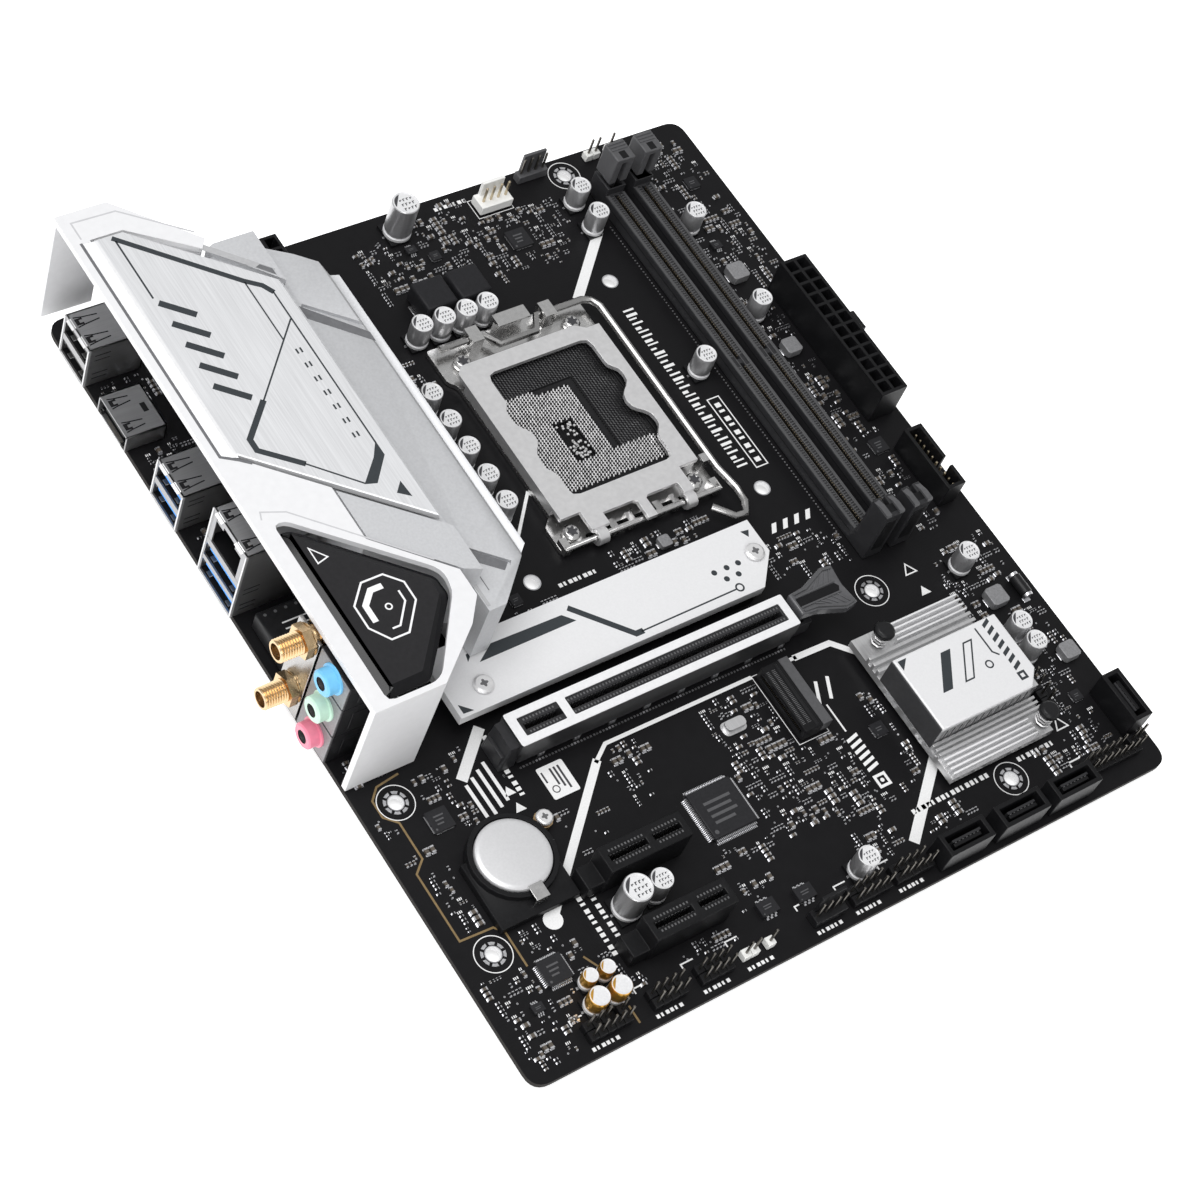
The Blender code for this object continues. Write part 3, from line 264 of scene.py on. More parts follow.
class Piece:
    """Solids in board millimetres, gathered into one mesh object."""

    def __init__(self, name, *finishes):
        self.name = name
        self.finishes = finishes
        self.bm = bmesh.new()

    def _face(self, corners, index):
        self.bm.faces.new(corners).material_index = index

    def box(self, low, high, index=0, turn=0.0, tilt=0.0):
        """A box between two corners (x, d, z), turned on the board and tilted, in degrees."""
        mid = Vector([(a + b) / 2 for a, b in zip(low, high)])
        half = [max(abs(b - a), 1e-4) / 2 for a, b in zip(low, high)]
        place = Matrix.Translation((mid.x, -mid.y, mid.z))
        if turn or tilt:
            place = (place @ Matrix.Rotation(math.radians(turn), 4, "Z")
                     @ Matrix.Rotation(math.radians(tilt), 4, "X"))
        verts = [self.bm.verts.new(place @ Vector((sx * half[0], sy * half[1], sz * half[2])))
                 for sz in (-1, 1) for sx, sy in ((-1, -1), (1, -1), (1, 1), (-1, 1))]
        for ring in ((3, 2, 1, 0), (4, 5, 6, 7), (0, 1, 5, 4), (1, 2, 6, 5), (2, 3, 7, 6),
                     (3, 0, 4, 7)):
            self._face([verts[i] for i in ring], index)
        return verts

    def rod(self, centre, radius, length, axis="Z", index=0, sides=24):
        """A cylinder centred on centre (x, d, z)."""
        spin = {"Z": Matrix.Identity(4), "X": Matrix.Rotation(math.pi / 2, 4, "Y"),
                "Y": Matrix.Rotation(-math.pi / 2, 4, "X")}[axis]
        place = Matrix.Translation((centre[0], -centre[1], centre[2])) @ spin
        rings = [[self.bm.verts.new(place @ Vector((x, y, height)))
                  for x, y in circle(0.0, 0.0, radius, sides)]
                 for height in (-length / 2, length / 2)]
        for i in range(sides):
            j = (i + 1) % sides
            self._face((rings[0][i], rings[0][j], rings[1][j], rings[1][i]), index)
        self._face(rings[0][::-1], index)
        self._face(rings[1], index)
        return rings[0] + rings[1]

    def slab(self, outline, low, high, index=0, holes=(), cap=None):
        """A flat outline (x, d) with holes, raised from z low to z high."""
        loops = [[(x, -d) for x, d in loop] for loop in (outline, *holes)]
        rings = []
        for number, loop in enumerate(loops):
            rings.append(loop if (signed_area(loop) > 0) == (number == 0) else loop[::-1])
        flat = [point for ring in rings for point in ring]
        below = [self.bm.verts.new((x, y, low)) for x, y in flat]
        above = [self.bm.verts.new((x, y, high)) for x, y in flat]
        tris = geometry.tessellate_polygon([[Vector((x, y, 0.0)) for x, y in r] for r in rings])
        for tri in tris:
            a, b, c = (Vector(flat[i]) for i in tri)
            order = tri if (b - a).cross(c - a) > 0 else tri[::-1]
            self._face([above[i] for i in order], index if cap is None else cap)
            self._face([below[i] for i in order[::-1]], index)
        start = 0
        for ring in rings:
            count = len(ring)
            for i in range(count):
                a, b = start + i, start + (i + 1) % count
                self._face((below[a], below[b], above[b], above[a]), index)
            start += count
        return below + above

    def lathe(self, profile, centre, index=0, sides=24, axis="Z", marks=()):
        """A turned body: profile (radius, height) from the top down, closed on the axis."""
        spin = {"Z": Matrix.Identity(4), "X": Matrix.Rotation(-math.pi / 2, 4, "Y")}[axis]
        place = Matrix.Translation((centre[0], -centre[1], centre[2])) @ spin
        rings = []
        for radius, height in profile:
            points = circle(0.0, 0.0, radius, sides) if radius > TINY else [(0.0, 0.0)]
            rings.append([self.bm.verts.new(place @ Vector((x, y, height))) for x, y in points])
        for step, (upper, lower) in enumerate(zip(rings, rings[1:])):
            for i in range(sides):
                j = (i + 1) % sides
                corners = [upper[i % len(upper)], lower[i % len(lower)], lower[j % len(lower)],
                           upper[j % len(upper)]]
                loop = []
                for corner in corners:
                    if corner not in loop:
                        loop.append(corner)
                if len(loop) > 2:
                    self._face(loop, marks[step] if marks else index)
        return [v for ring in rings for v in ring]

    def stroke(self, path, width, low, high, index=0):
        """A flat line of the given width along a path of (x, d) points, with mitred corners."""
        points = [Vector(p) for p in path]
        closed = (points[0] - points[-1]).length < TINY
        if closed:
            points = points[:-1]
        left, right = [], []
        count = len(points)
        for i, here in enumerate(points):
            before = points[i - 1] if i or closed else None
            after = points[(i + 1) % count] if i < count - 1 or closed else None
            first = (here - before).normalized() if before is not None else None
            last = (after - here).normalized() if after is not None else first
            first = first if first is not None else last
            normal = Vector((-first.y - last.y, first.x + last.x))
            if normal.length < TINY:
                normal = Vector((-first.y, first.x))
            normal.normalize()
            reach = width / 2 / max(normal.dot(Vector((-first.y, first.x))), 0.4)
            left.append(tuple(here + normal * reach))
            right.append(tuple(here - normal * reach))
        if closed:
            inner, outer = sorted((left, right), key=lambda loop: abs(signed_area(loop)))
            return self.slab(outer, low, high, index, [inner])
        return self.slab(left + right[::-1], low, high, index)

    def ring(self, outline, z):
        loop = outline if signed_area(outline) < 0 else outline[::-1]
        return [self.bm.verts.new((x, -d, z)) for x, d in loop]

    def band(self, lower, low, upper, high, index=0):
        """A strip of faces between two outlines with the same number of points."""
        a, b = self.ring(lower, low), self.ring(upper, high)
        for i in range(len(a)):
            j = (i + 1) % len(a)
            self._face((a[i], a[j], b[j], b[i]), index)

    def flat(self, outline, z, index=0, up=True):
        loop = self.ring(outline, z)
        self._face(loop if up else loop[::-1], index)

    def loft(self, lower, low, upper, high, index=0, cap_high=True):
        """A closed solid between a lower and an upper outline."""
        self.band(lower, low, upper, high, index)
        self.flat(lower, low, index, False)
        if cap_high:
            self.flat(upper, high, index)

    def move(self, verts, matrix):
        for vert in verts:
            vert.co = matrix @ vert.co

    def done(self, body="board", bevel=0.0, segments=2, stands_for=(), slot=None, angle=35.0):
        bmesh.ops.recalc_face_normals(self.bm, faces=self.bm.faces)
        mesh = bpy.data.meshes.new(self.name)
        self.bm.to_mesh(mesh)
        self.bm.free()
        mesh.transform(TO_ROW)
        for material in self.finishes:
            mesh.materials.append(material)
        return settle(self.name, mesh, body, bevel, segments, stands_for, angle)


def settle(name, mesh, body, bevel, segments, stands_for, angle=35.0):
    """Links a mesh as a piece, rounds its edges and lets it ride on its body."""
    mesh.shade_smooth()
    mesh.set_sharp_from_angle(angle=math.radians(angle))
    obj = bpy.data.objects.new(name, mesh)
    bpy.context.scene.collection.objects.link(obj)
    if bevel:
        edge = obj.modifiers.new("edges", "BEVEL")
        edge.width = bevel * MM
        edge.segments = segments
        edge.limit_method = "ANGLE"
        edge.angle_limit = math.radians(40.0)
    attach(obj, body)
    if stands_for:
        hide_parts(*stands_for)
    return obj


def signed_area(loop):
    """Twice a loop's area; its sign tells which way round the loop runs."""
    return sum(a[0] * b[1] - b[0] * a[1] for a, b in zip(loop, loop[1:] + loop[:1]))


def recast(node, material, bevel=0.15, segments=2, second=None, pick=None):
    """A finely edged piece in the exact shape of a CAD node, which it stands for.

    Faces whose normal passes pick are given the second material."""
    bm = bmesh.new()
    bm.from_mesh(frame["nodes"][node].data)
    bmesh.ops.remove_doubles(bm, verts=bm.verts, dist=TINY)
    bmesh.ops.dissolve_limit(bm, angle_limit=math.radians(1.0), verts=bm.verts, edges=bm.edges)
    mesh = bpy.data.meshes.new(node + "_finished")
    bm.to_mesh(mesh)
    bm.free()
    mesh.materials.clear()
    mesh.materials.append(material)
    if second:
        mesh.materials.append(second)
    for face in mesh.polygons:
        face.material_index = 1 if pick and pick(face.normal) else 0
    body = frame["nodes"][node]["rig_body"]
    return settle(node + "_finished", mesh, body, bevel, segments, (node,))


def rounded(points, radius, steps=4):
    """The outline with each corner replaced by a short curve."""
    outline = []
    for index, corner in enumerate(points):
        here = Vector(corner)
        before = Vector(points[index - 1]) - here
        after = Vector(points[(index + 1) % len(points)]) - here
        reach = min(radius, before.length * 0.47, after.length * 0.47)
        start = here + before.normalized() * reach
        end = here + after.normalized() * reach
        for step in range(steps + 1):
            t = step / steps
            outline.append(tuple(start * (1 - t) ** 2 + here * 2 * t * (1 - t) + end * t ** 2))
    return outline


def inset(outline, distance):
    """The outline moved inwards by a distance, corner by corner."""
    way = 1 if signed_area(outline) > 0 else -1
    moved = []
    for index, corner in enumerate(outline):
        here = Vector(corner)
        first = (here - Vector(outline[index - 1])).normalized()
        last = (Vector(outline[(index + 1) % len(outline)]) - here).normalized()
        normal = Vector((-first.y - last.y, first.x + last.x)).normalized()
        reach = distance / max(normal.dot(Vector((-first.y, first.x))), 0.35)
        moved.append(tuple(here + normal * reach * way))
    return moved


def rectangle(x0, x1, d0, d1):
    return [(x0, d0), (x1, d0), (x1, d1), (x0, d1)]


def circle(x, d, radius, sides=32):
    return [(x + radius * math.cos(2 * math.pi * i / sides),
             d + radius * math.sin(2 * math.pi * i / sides)) for i in range(sides)]


# The board ---------------------------------------------------------------------------------------

MOUNT_HOLES = ((10.16, 163.83), (10.16, 209.55), (33.02, 6.35),
               (165.1, 6.35), (165.1, 163.83), (165.1, 228.5))
SOCKET_X, SOCKET_D, COOLER_HALF = 116.9, 83.9, 39.0
COOLER_HOLES = [(SOCKET_X + a * COOLER_HALF, SOCKET_D + b * COOLER_HALF)
                for a in (-1, 1) for b in (-1, 1)]
SOCKET_SCREWS = ((97.4, 55.4), (134.4, 55.2), (94.7, 115.3), (136.4, 114.6))
PUSH_PINS = ((152.9, 179.7), (180.9, 219.5))
MOUNT_HOLE, COOLER_HOLE, SCREW_HOLE, PIN_HOLE = 2.0, 2.1, 1.9, 1.6      # radii


def make_board():
    board = Piece("board_laminate", LAMINATE_EDGE, MASK)
    outline = rounded(rectangle(0.0, WIDTH, 0.0, DEPTH), 5.0, 6)
    holes = [circle(x, d, MOUNT_HOLE) for x, d in MOUNT_HOLES]
    holes += [circle(x, d, COOLER_HOLE) for x, d in COOLER_HOLES]
    holes += [circle(x, d, SCREW_HOLE, 20) for x, d in SOCKET_SCREWS]
    holes += [circle(x, d, PIN_HOLE, 20) for x, d in PUSH_PINS]
    board.slab(outline, -THICKNESS, 0.0, 0, holes, cap=1)
    for face in board.bm.faces:
        if abs(face.normal.z) > 0.9 or face.calc_center_median().z < -THICKNESS + 0.01:
            face.material_index = 1
    board.done(stands_for=("pcb",), slot="laminate")


def make_mount_rings():
    """Plated segments round each mounting hole, on both faces, and a printed circle on top."""
    rings = Piece("mount_rings", RING_WHITE, PRINT, SOLDER)
    for x, d in MOUNT_HOLES:
        rings.slab(circle(x, d, 2.02), -THICKNESS, 0.0, 0, [circle(x, d, 1.94)])
        for low, high in ((0.0, INK), (-THICKNESS - INK, -THICKNESS)):
            rings.slab(circle(x, d, 2.25), low, high, 2, [circle(x, d, MOUNT_HOLE)])
            for i in range(8):
                a = 2 * math.pi * (i + 0.5) / 8
                arc = [(x + r * math.cos(a + t), d + r * math.sin(a + t))
                       for r, span in ((2.5, (-0.24, 0.0, 0.24)), (3.3, (0.29, 0.0, -0.29)))
                       for t in span]
                rings.slab(arc, low, high, 2)
        rings.slab(circle(x, d, 5.05, 48), 0.0, INK, 1, [circle(x, d, 4.8, 48)])
    for x, d in COOLER_HOLES:
        rings.slab(circle(x, d, 2.12), -THICKNESS, 0.0, 0, [circle(x, d, 2.05)])
        for low, high in ((0.0, INK), (-THICKNESS - INK, -THICKNESS)):
            rings.slab(circle(x, d, 2.45), low, high, 2, [circle(x, d, COOLER_HOLE)])
    rings.done(slot="zinc_steel")


make_board()
make_mount_rings()


# The underside -----------------------------------------------------------------------------------

def spread(start, step, count):
    return [start + step * i for i in range(count)]


def tail_points():
    """Where soldered tails come out under the board: x, d, radius of the joint."""
    points = []
    for x in (168.9, 170.7, 172.9, 174.7, 178.9, 180.7, 182.9, 184.7):
        points += [(x, d + (x % 1.0), 0.5) for d in spread(24.0, 1.7, 73)]
    for d in (160.9, 162.6, 164.2, 165.9):
        points += [(x, d, 0.55) for x in spread(46.4 + d % 1.0, 2.0, 42)]
    for slot_d in (204.0, 224.4):
        for d in (slot_d - 2.2, slot_d + 2.2):
            points += [(x, d, 0.55) for x in spread(46.2, 1.25, 17)]
    points += [(x, d, 1.35) for x in (201.9, 206.1) for d in spread(67.6, 4.2, 12)]
    points += [(x, d, 1.35) for x in spread(51.1, 4.2, 4) for d in (5.8, 10.0)]
    points += [(x, d, 0.75) for x in (203.0, 205.0) for d in spread(129.5, 2.0, 10)]
    points += [(x, d, 0.75) for d in (12.2, 14.8, 17.2, 19.8) for x in (11.6, 14.2)]
    points += [(x, d, 0.7) for d in (61.0, 63.5, 66.0, 68.5, 70.5) for x in (10.6, 12.6, 14.6)]
    points += [(x, d, 0.7) for d in spread(86.0, 1.9, 7) for x in (12.0, 14.4, 17.0, 19.0)]
    points += [(x, d, 1.5) for d in (9.8, 22.2, 59.3, 71.7, 84.3, 100.1) for x in (3.4, 9.6)]
    points += [(x, d, 1.2) for d in (30.8, 44.4) for x in (2.6, 8.8)]
    points += [(x, d, 0.85) for d in (135.4, 140.6, 145.0) for x in (2.2, 5.8, 9.6)]
    for low, high in ((129.0, 144.2), (148.2, 163.9), (167.4, 182.6)):
        points += [(x, 238.2 + (i % 2) * 1.6, 0.55)
                   for i, x in enumerate(spread(low + 3.4, 1.27, 7))]
        points += [(x, 239.0, 1.2) for x in (low + 1.0, high - 1.0)]
    points += [(206.0 + (i % 2) * 1.4, d, 0.55) for i, d in enumerate(spread(220.4, 1.27, 7))]
    points += [(x, d, 0.8) for x in spread(20.0, 2.54, 36) for d in (236.9, 239.4)
               if abs(x - 127.0) > 2.0]
    points += [(x, d, 0.8) for x in spread(186.0, 2.54, 9) for d in (234.0, 236.5)]
    points += [(x, 8.0, 0.8) for x in spread(134.2, 2.54, 4)]
    points += [(x, 33.5, 1.3) for x in (98.2, 103.6, 109.6, 115.0)]
    points += [(16.4, 190.5, 1.3), (37.6, 190.5, 1.3), (27.0, 203.6, 1.2)]
    return points


def make_tails():
    tails = Piece("solder_tails", SOLDER, TIN)
    source = random.Random(11)
    for x, d, radius in tail_points():
        reach = min(1.1 + radius * 0.9, 2.3) * source.uniform(0.86, 1.0)
        under = -THICKNESS
        tails.lathe([(0.0, under + 0.02), (radius * 1.12, under + 0.02),
                     (radius * 1.12, under - 0.05), (radius * 0.8, under - reach * 0.34),
                     (radius * 0.42, under - reach * 0.7), (radius * 0.3, under - reach),
                     (0.0, under - reach * 1.02)], (x, d, 0.0), 0, 10)
    tails.done(slot="zinc_steel", angle=60.0)


def make_underside_parts():
    """Capacitors in the socket's opening, small parts elsewhere, and printed marks."""
    source = random.Random(5)
    under = -THICKNESS
    parts = Piece("underside_parts", CERAMIC, TIN, PARTS_DARK, EPOXY)
    marks = Piece("underside_print", PRINT)
    for x in spread(107.4, 2.5, 8):
        for d in spread(74.6, 3.1, 7):
            if source.random() < 0.86:
                small_part(parts, x, d, under, 1.0, 0.55, 0, turn=90, down=True)
    zones = ((20.0, 60.0, 20.0, 60.0), (60.0, 84.0, 60.0, 110.0), (148.0, 164.0, 30.0, 110.0),
             (60.0, 150.0, 128.0, 156.0), (60.0, 150.0, 172.0, 200.0), (150.0, 198.0, 172.0, 226.0))
    for x0, x1, d0, d1 in zones:
        for _ in range(int((x1 - x0) * (d1 - d0) / 60)):
            x, d = source.uniform(x0, x1), source.uniform(d0, d1)
            kind = source.choice((0, 0, 2))
            small_part(parts, round(x), round(d), under, 1.0, 0.5, kind,
                       turn=source.choice((0, 90)), down=True)
            if source.random() < 0.4:
                marks.box((x + 1.0, d - 0.4, under - INK), (x + 1.25, d + 0.4, under))
    for x, d, size in ((72.0, 84.0, 5.0), (154.0, 62.0, 4.0), (100.0, 140.0, 6.0)):
        parts.box((x - size / 2, d - size / 2, under - 0.9), (x + size / 2, d + size / 2, under), 3)
    marks.stroke([(88.0, 44.0), (143.0, 44.0), (148.0, 49.0), (148.0, 120.0), (143.0, 125.0),
                  (88.0, 125.0), (83.0, 120.0), (83.0, 49.0), (88.0, 44.0)], 0.3,
                 under - INK, under)
    for d in (158.6, 168.2):
        marks.stroke([(44.0, d), (132.0, d)], 0.25, under - INK, under)
    for x in (167.6, 187.0):
        marks.stroke([(x, 20.0), (x, 150.0)], 0.25, under - INK, under)
    parts.done(bevel=0.05, segments=1, slot="chip_epoxy")
    marks.done(slot="white_plastic")


def small_part(piece, x, d, level, length, width, kind, turn=0, down=False):
    """A surface part: a body with a metal cap at each end, on its two solder fillets."""
    height = min(width * 0.75, 0.9)
    sign = -1 if down else 1
    half, side = length / 2, width / 2
    cap = length * 0.23
    made = piece.box((x - half + cap * 0.8, d - side * 0.94, level),
                     (x + half - cap * 0.8, d + side * 0.94, level + sign * height), kind)
    for end in (-1, 1):
        made += piece.box((x + end * half, d - side, level),
                          (x + end * (half - cap), d + side, level + sign * height * 1.04), 1)
        made += piece.box((x + end * (half + cap * 0.5), d - side * 1.1, level),
                          (x + end * (half - cap * 0.5), d + side * 1.1,
                           level + sign * height * 0.22), 1)
    if turn:
        centre = Matrix.Translation((x, -d, 0.0))
        piece.move(made, centre @ Matrix.Rotation(math.radians(turn), 4, "Z") @ centre.inverted())


make_tails()
make_underside_parts()


# Rear cover and regulator cooling ------------------------------------------------------------------

def make_cover():
    recast("io_shroud", SHROUD_WHITE, 1.0, 4)
    # Faces of the regulator cooler turned towards +x take the darker aluminium: painted shade on the
    # side away from the light.
    recast("vrm_heatsink", ALU_SIDE, 0.45, 2, ALU_CHAMFER_SHADE,
           lambda normal: normal.x > 0.25)
    x0, _, _, _, _, z1 = edges("heatsink_cover_plate")
    plate = Piece("heatsink_cover_plate_finished", ALU_Y, ALU_CHAMFER_SHADE)
    outline = [(x0, 6.0), (14.0, 6.0), (44.2, 34.2), (44.2, 114.2), (x0, 78.0)]
    # The plate's sides and underside take the darker aluminium as painted shade; the top and its edge
    # take the brushed finish.
    plate.band(outline, z1 - 1.7, inset(outline, 0.12), z1 - 0.25, 1)
    plate.band(inset(outline, 0.12), z1 - 0.25, inset(outline, 0.4), z1, 0)
    plate.flat(outline, z1 - 1.7, 1, False)
    plate.flat(inset(outline, 0.4), z1, 0)
    plate.done(stands_for=("heatsink_cover_plate",), slot="brushed_aluminium", angle=20.0)
    ridge = Piece("plate_side_ridge", RING_WHITE, ALU_SHADE)
    run = [(2.9, 5.8), (6.7, 6.3), (6.7, 79.3), (2.9, 77.2)]
    inner = [(5.6, 6.6), (6.5, 6.7), (6.5, 78.6), (5.6, 78.0)]
    ridge.loft(run, z1 - 0.6, inner, z1 + 0.12, 0)
    # A dark line left of the ridge: painted shade in the gap between the plate and the cover.
    ridge.stroke([(2.5, 5.6), (2.5, 77.3), (6.4, 79.9), (9.0, 82.0)], 0.8, z1 - 0.7, z1 - 0.5, 1)
    ridge.done(bevel=0.08, slot="brushed_aluminium")
    # Grey lines along the cover's embossed creases: painted shade.
    crease = Piece("shroud_crease_shade_lines", SHROUD_CREASE_SHADE)
    top = edges("io_shroud")[5]
    crease.stroke([(3.2, 4.4), (3.2, -1.2), (15.8, -0.9), (31.6, 12.4)], 0.45, top - 0.1, top + 0.03)
    crease.stroke([(2.6, 97.6), (3.4, 95.4), (9.4, 97.8), (36.2, 124.4)], 0.4, top - 0.1, top + 0.03)
    crease.done(slot="white_plastic")


def make_badge():
    """A gloss panel: a flat field raised on wide black slopes, with a plain emblem."""
    level = edges("shroud_badge")[5]
    rim = rounded([(5.3, 101.4), (8.6, 101.6), (35.2, 127.8), (35.4, 133.8), (18.4, 152.6),
                   (5.8, 152.8)], 1.5, 4)
    crest = inset(rim, 2.6)
    panel = Piece("shroud_badge_finished", BADGE_BLACK, BADGE_PANEL)
    panel.loft(rim, level - 1.6, inset(rim, 0.1), level - 0.8, 0, cap_high=False)
    panel.band(inset(rim, 0.1), level - 0.8, crest, level + 0.35, 0)
    panel.flat(crest, level + 0.35, 1)
    panel.done(stands_for=("shroud_badge",), slot="gloss_black", angle=25.0)
    art = Piece("badge_graphics", BADGE_LINE)
    low = level + 0.35
    high = low + 0.05
    outer = [(11.4, 134.4), (11.4, 127.6), (16.4, 122.4), (22.6, 122.4), (26.4, 126.4),
             (26.4, 132.0), (20.0, 139.4), (15.0, 139.4), (11.4, 134.4)]
    art.stroke(outer, 0.5, low, high)
    art.stroke([(14.0, 133.6), (14.0, 128.6), (17.4, 125.2), (20.8, 125.2)], 1.6, low, high)
    art.stroke([(23.8, 128.0), (23.8, 131.2), (19.0, 136.8), (16.8, 136.8)], 0.5, low, high)
    art.slab(circle(19.2, 131.0, 1.0, 20), low, high, 0, [circle(19.2, 131.0, 0.62, 20)])
    art.stroke([(9.6, 108.6), (12.8, 112.6), (9.6, 113.4), (9.6, 108.6)], 0.35, low, high)
    art.done(slot="gloss_black")


def make_plate_graphics():
    """Slate printing on the brushed cover plate, and painted dark groove shade on the cooler beside
    it.
    """
    level = edges("heatsink_cover_plate")[5]
    ink = Piece("plate_print", SLATE)
    high = level + INK
    ink.stroke([(10.3, 7.2), (35.2, 31.6), (39.0, 34.6), (40.7, 37.6)], 1.5, level, high)
    ink.stroke([(40.6, 37.4), (40.6, 88.8)], 0.45, level, high)
    ink.slab([(40.8, 88.2), (40.8, 92.8), (34.6, 99.6), (31.4, 98.6), (37.8, 92.4)], level, high)
    ink.stroke([(31.6, 98.4), (20.7, 87.4)], 0.45, level, high)
    ink.stroke([(20.9, 87.6), (11.7, 79.4), (11.7, 75.8), (20.9, 66.6)], 1.6, level, high)
    ink.stroke([(20.8, 66.8), (40.4, 46.7)], 0.45, level, high)
    ink.stroke([(35.2, 32.0), (35.2, 51.8)], 0.4, level, high)
    ink.stroke([(10.8, 8.4), (10.8, 28.2)], 0.5, level, high)
    for d in spread(30.0, 7.0, 5):
        ink.stroke([(11.4, d), (18.6, d + 6.8)], 1.9, level, high)
    ink.slab([(40.3, 101.2), (40.7, 106.4), (37.6, 104.0)], level, high)
    for d in spread(56.4, 4.7, 7):
        ink.box((36.4, d - 0.8, level), (36.9, d + 0.8, high))
        ink.box((37.6, d - 0.8, level), (38.1, d + 0.8, high))
    ink.done(slot="brushed_aluminium")
    make_cooler_groove_shade(level)


def make_cooler_groove_shade(level):
    """Painted shade on the regulator's cooler: shadow gaps and step edges across it, and dark slots
    painted on its wall as the shade inside them.
    """
    groove_shade = Piece("cooler_painted_shade", ALU_SHADE, ALU_CHAMFER_SHADE)
    raised = level - 1.0
    groove_shade.stroke([(30.8, 16.9), (44.8, 31.0)], 1.9, raised - 0.05, raised + 0.03, 1)
    groove_shade.slab([(40.9, 28.1), (44.8, 32.2), (44.8, 30.0), (42.4, 27.6)], raised, raised + 0.06)
    body = 35.8
    groove_shade.stroke([(24.6, 97.4), (44.6, 116.4)], 1.5, body, body + 0.05, 1)
    groove_shade.slab([(40.4, 110.6), (44.9, 114.6), (44.9, 118.4)], body, body + 0.08)
    groove_shade.stroke([(25.1, 99.0), (25.1, 111.4), (44.6, 129.8)], 1.3, body, body + 0.06, 1)
    _, wall, _, _, _, high = edges("vrm_heatsink")
    for d in spread(36.0, 6.1, 15):
        groove_shade.box((wall - 0.1, d, 6.0), (wall + 0.06, d + 1.1, 22.0))
    strip = high - 7.6
    groove_shade.slab([(46.6, 35.6), (46.6, 40.2), (62.6, 56.0), (62.6, 52.8)], strip, strip + 0.06)
    groove_shade.slab([(46.6, 118.2), (46.6, 122.4), (55.6, 130.6), (57.6, 128.8)], strip, strip + 0.06)
    groove_shade.stroke([(46.1, 19.0), (46.1, 138.0)], 0.9, strip, strip + 0.1, 1)
    groove_shade.stroke([(48.6, 24.0), (48.6, 134.0)], 0.25, strip, strip + 0.04)
    groove_shade.done(slot="brushed_aluminium")


make_cover()
make_badge()
make_plate_graphics()


# Processor socket ----------------------------------------------------------------------------------

def torx(piece, x, d, level, radius, index, lobes=6):
    """A dark six-lobed recess drawn as a shallow raised disc of shade."""
    outline = [(x + radius * (0.78 + 0.22 * math.cos(lobes * a)) * math.cos(a),
                d + radius * (0.78 + 0.22 * math.cos(lobes * a)) * math.sin(a))
               for a in spread(0.0, math.pi / 18, 36)]
    piece.slab(outline, level - 0.2, level + 0.02, index)


def make_socket():
    recast("cpu_socket", BLACK, 0.15, 2)
    recast("socket_frame", NICKEL_DARK, 0.18, 2)
    recast("load_plate", PLATE_STEEL, 0.32, 3)
    recast("load_lever", LEVER_STEEL, 0.0, 1)
    recast("socket_backplate", NICKEL_DARK, 0.4, 2)
    film = Piece("backplate_film", BLACK_SATIN)
    holes = [circle(x, d, 3.4, 24) for x, d in SOCKET_SCREWS]
    low = edges("socket_backplate")[4]
    film.slab(rounded(rectangle(90.2, 142.0, 50.8, 118.0), 4.0), low - 0.08, low + 0.02, 0,
              [rounded(rectangle(103.4, 130.4, 70.4, 97.4), 3.0), *holes])
    film.done(slot="black_plastic")
    # Dark six-lobed discs on the screw heads: painted shade in their recesses.
    recess = Piece("socket_screw_recess_shade", MARK_AND_SHADE_BLACK)
    for number, (x, d) in enumerate(SOCKET_SCREWS, 1):
        screw = f"socket_screw_{number}"
        recast(screw, NICKEL_DARK, 0.12, 2)
        torx(recess, x, d, edges(screw)[5], 1.75, 0)
    recess.done(slot="zinc_steel")


def make_socket_contacts():
    """Sprung contacts on a fine grid in two orientations, leaning over small dark cells."""
    left, _, top, bottom, floor, _ = edges("cpu_socket")
    floor += 2.8
    tips = Piece("socket_contacts", SPRING_TIN, CONTACT_DARK)
    source = random.Random(3)
    pitch = 0.914
    x_start, d_start = left + 3.0, top + 2.9
    for column in range(40):
        for row in range(48):
            x = x_start + column * pitch
            d = d_start + (row + 0.5 * (column % 2)) * pitch * 0.965
            if 121.3 < x < 123.3 and 71.2 < d < 96.4 or 110.2 < x < 123.3 and 71.2 < d < 73.1:
                continue
            if 109.4 < x < 115.8 and 83.3 < d < 96.4:
                continue
            upper = d < 71.4 or x > 123.0 and d < 96.4
            size = source.uniform(0.85, 1.12)
            tips.box((x - 0.17 * size, d - 0.38 * size, floor + 0.02),
                     (x + 0.17 * size, d + 0.38 * size, floor + 0.16),
                     1 if upper else 0, turn=48 if upper else -22, tilt=22)
    for _ in range(46):
        x, d = source.uniform(110.0, 115.2), source.uniform(84.0, 95.8)
        if x > 111.6 or d > 91.0 or d < 86.0:
            tips.box((x - 0.3, d - 0.3, floor), (x + 0.3, d + 0.3, floor + 0.3), 0,
                     turn=source.uniform(0, 90))
    tips.done(slot="gold_plate")
    body = Piece("socket_cells", BLACK_SATIN)
    for column in range(39):
        x = x_start + (column + 0.5) * pitch
        body.box((x - 0.05, d_start - 0.6, floor - 0.05), (x + 0.05, bottom - 2.3, floor + 0.03))
    body.stroke([(110.0, 72.1), (122.3, 72.1), (122.3, 96.2)], 1.7, floor - 0.02, floor + 0.1)
    body.stroke([(109.5, 71.2), (123.5, 71.2), (123.5, 96.4)], 0.22, floor, floor + 0.5)
    body.done(slot="black_plastic")


make_socket()
make_socket_contacts()


# Memory and expansion slots ------------------------------------------------------------------------

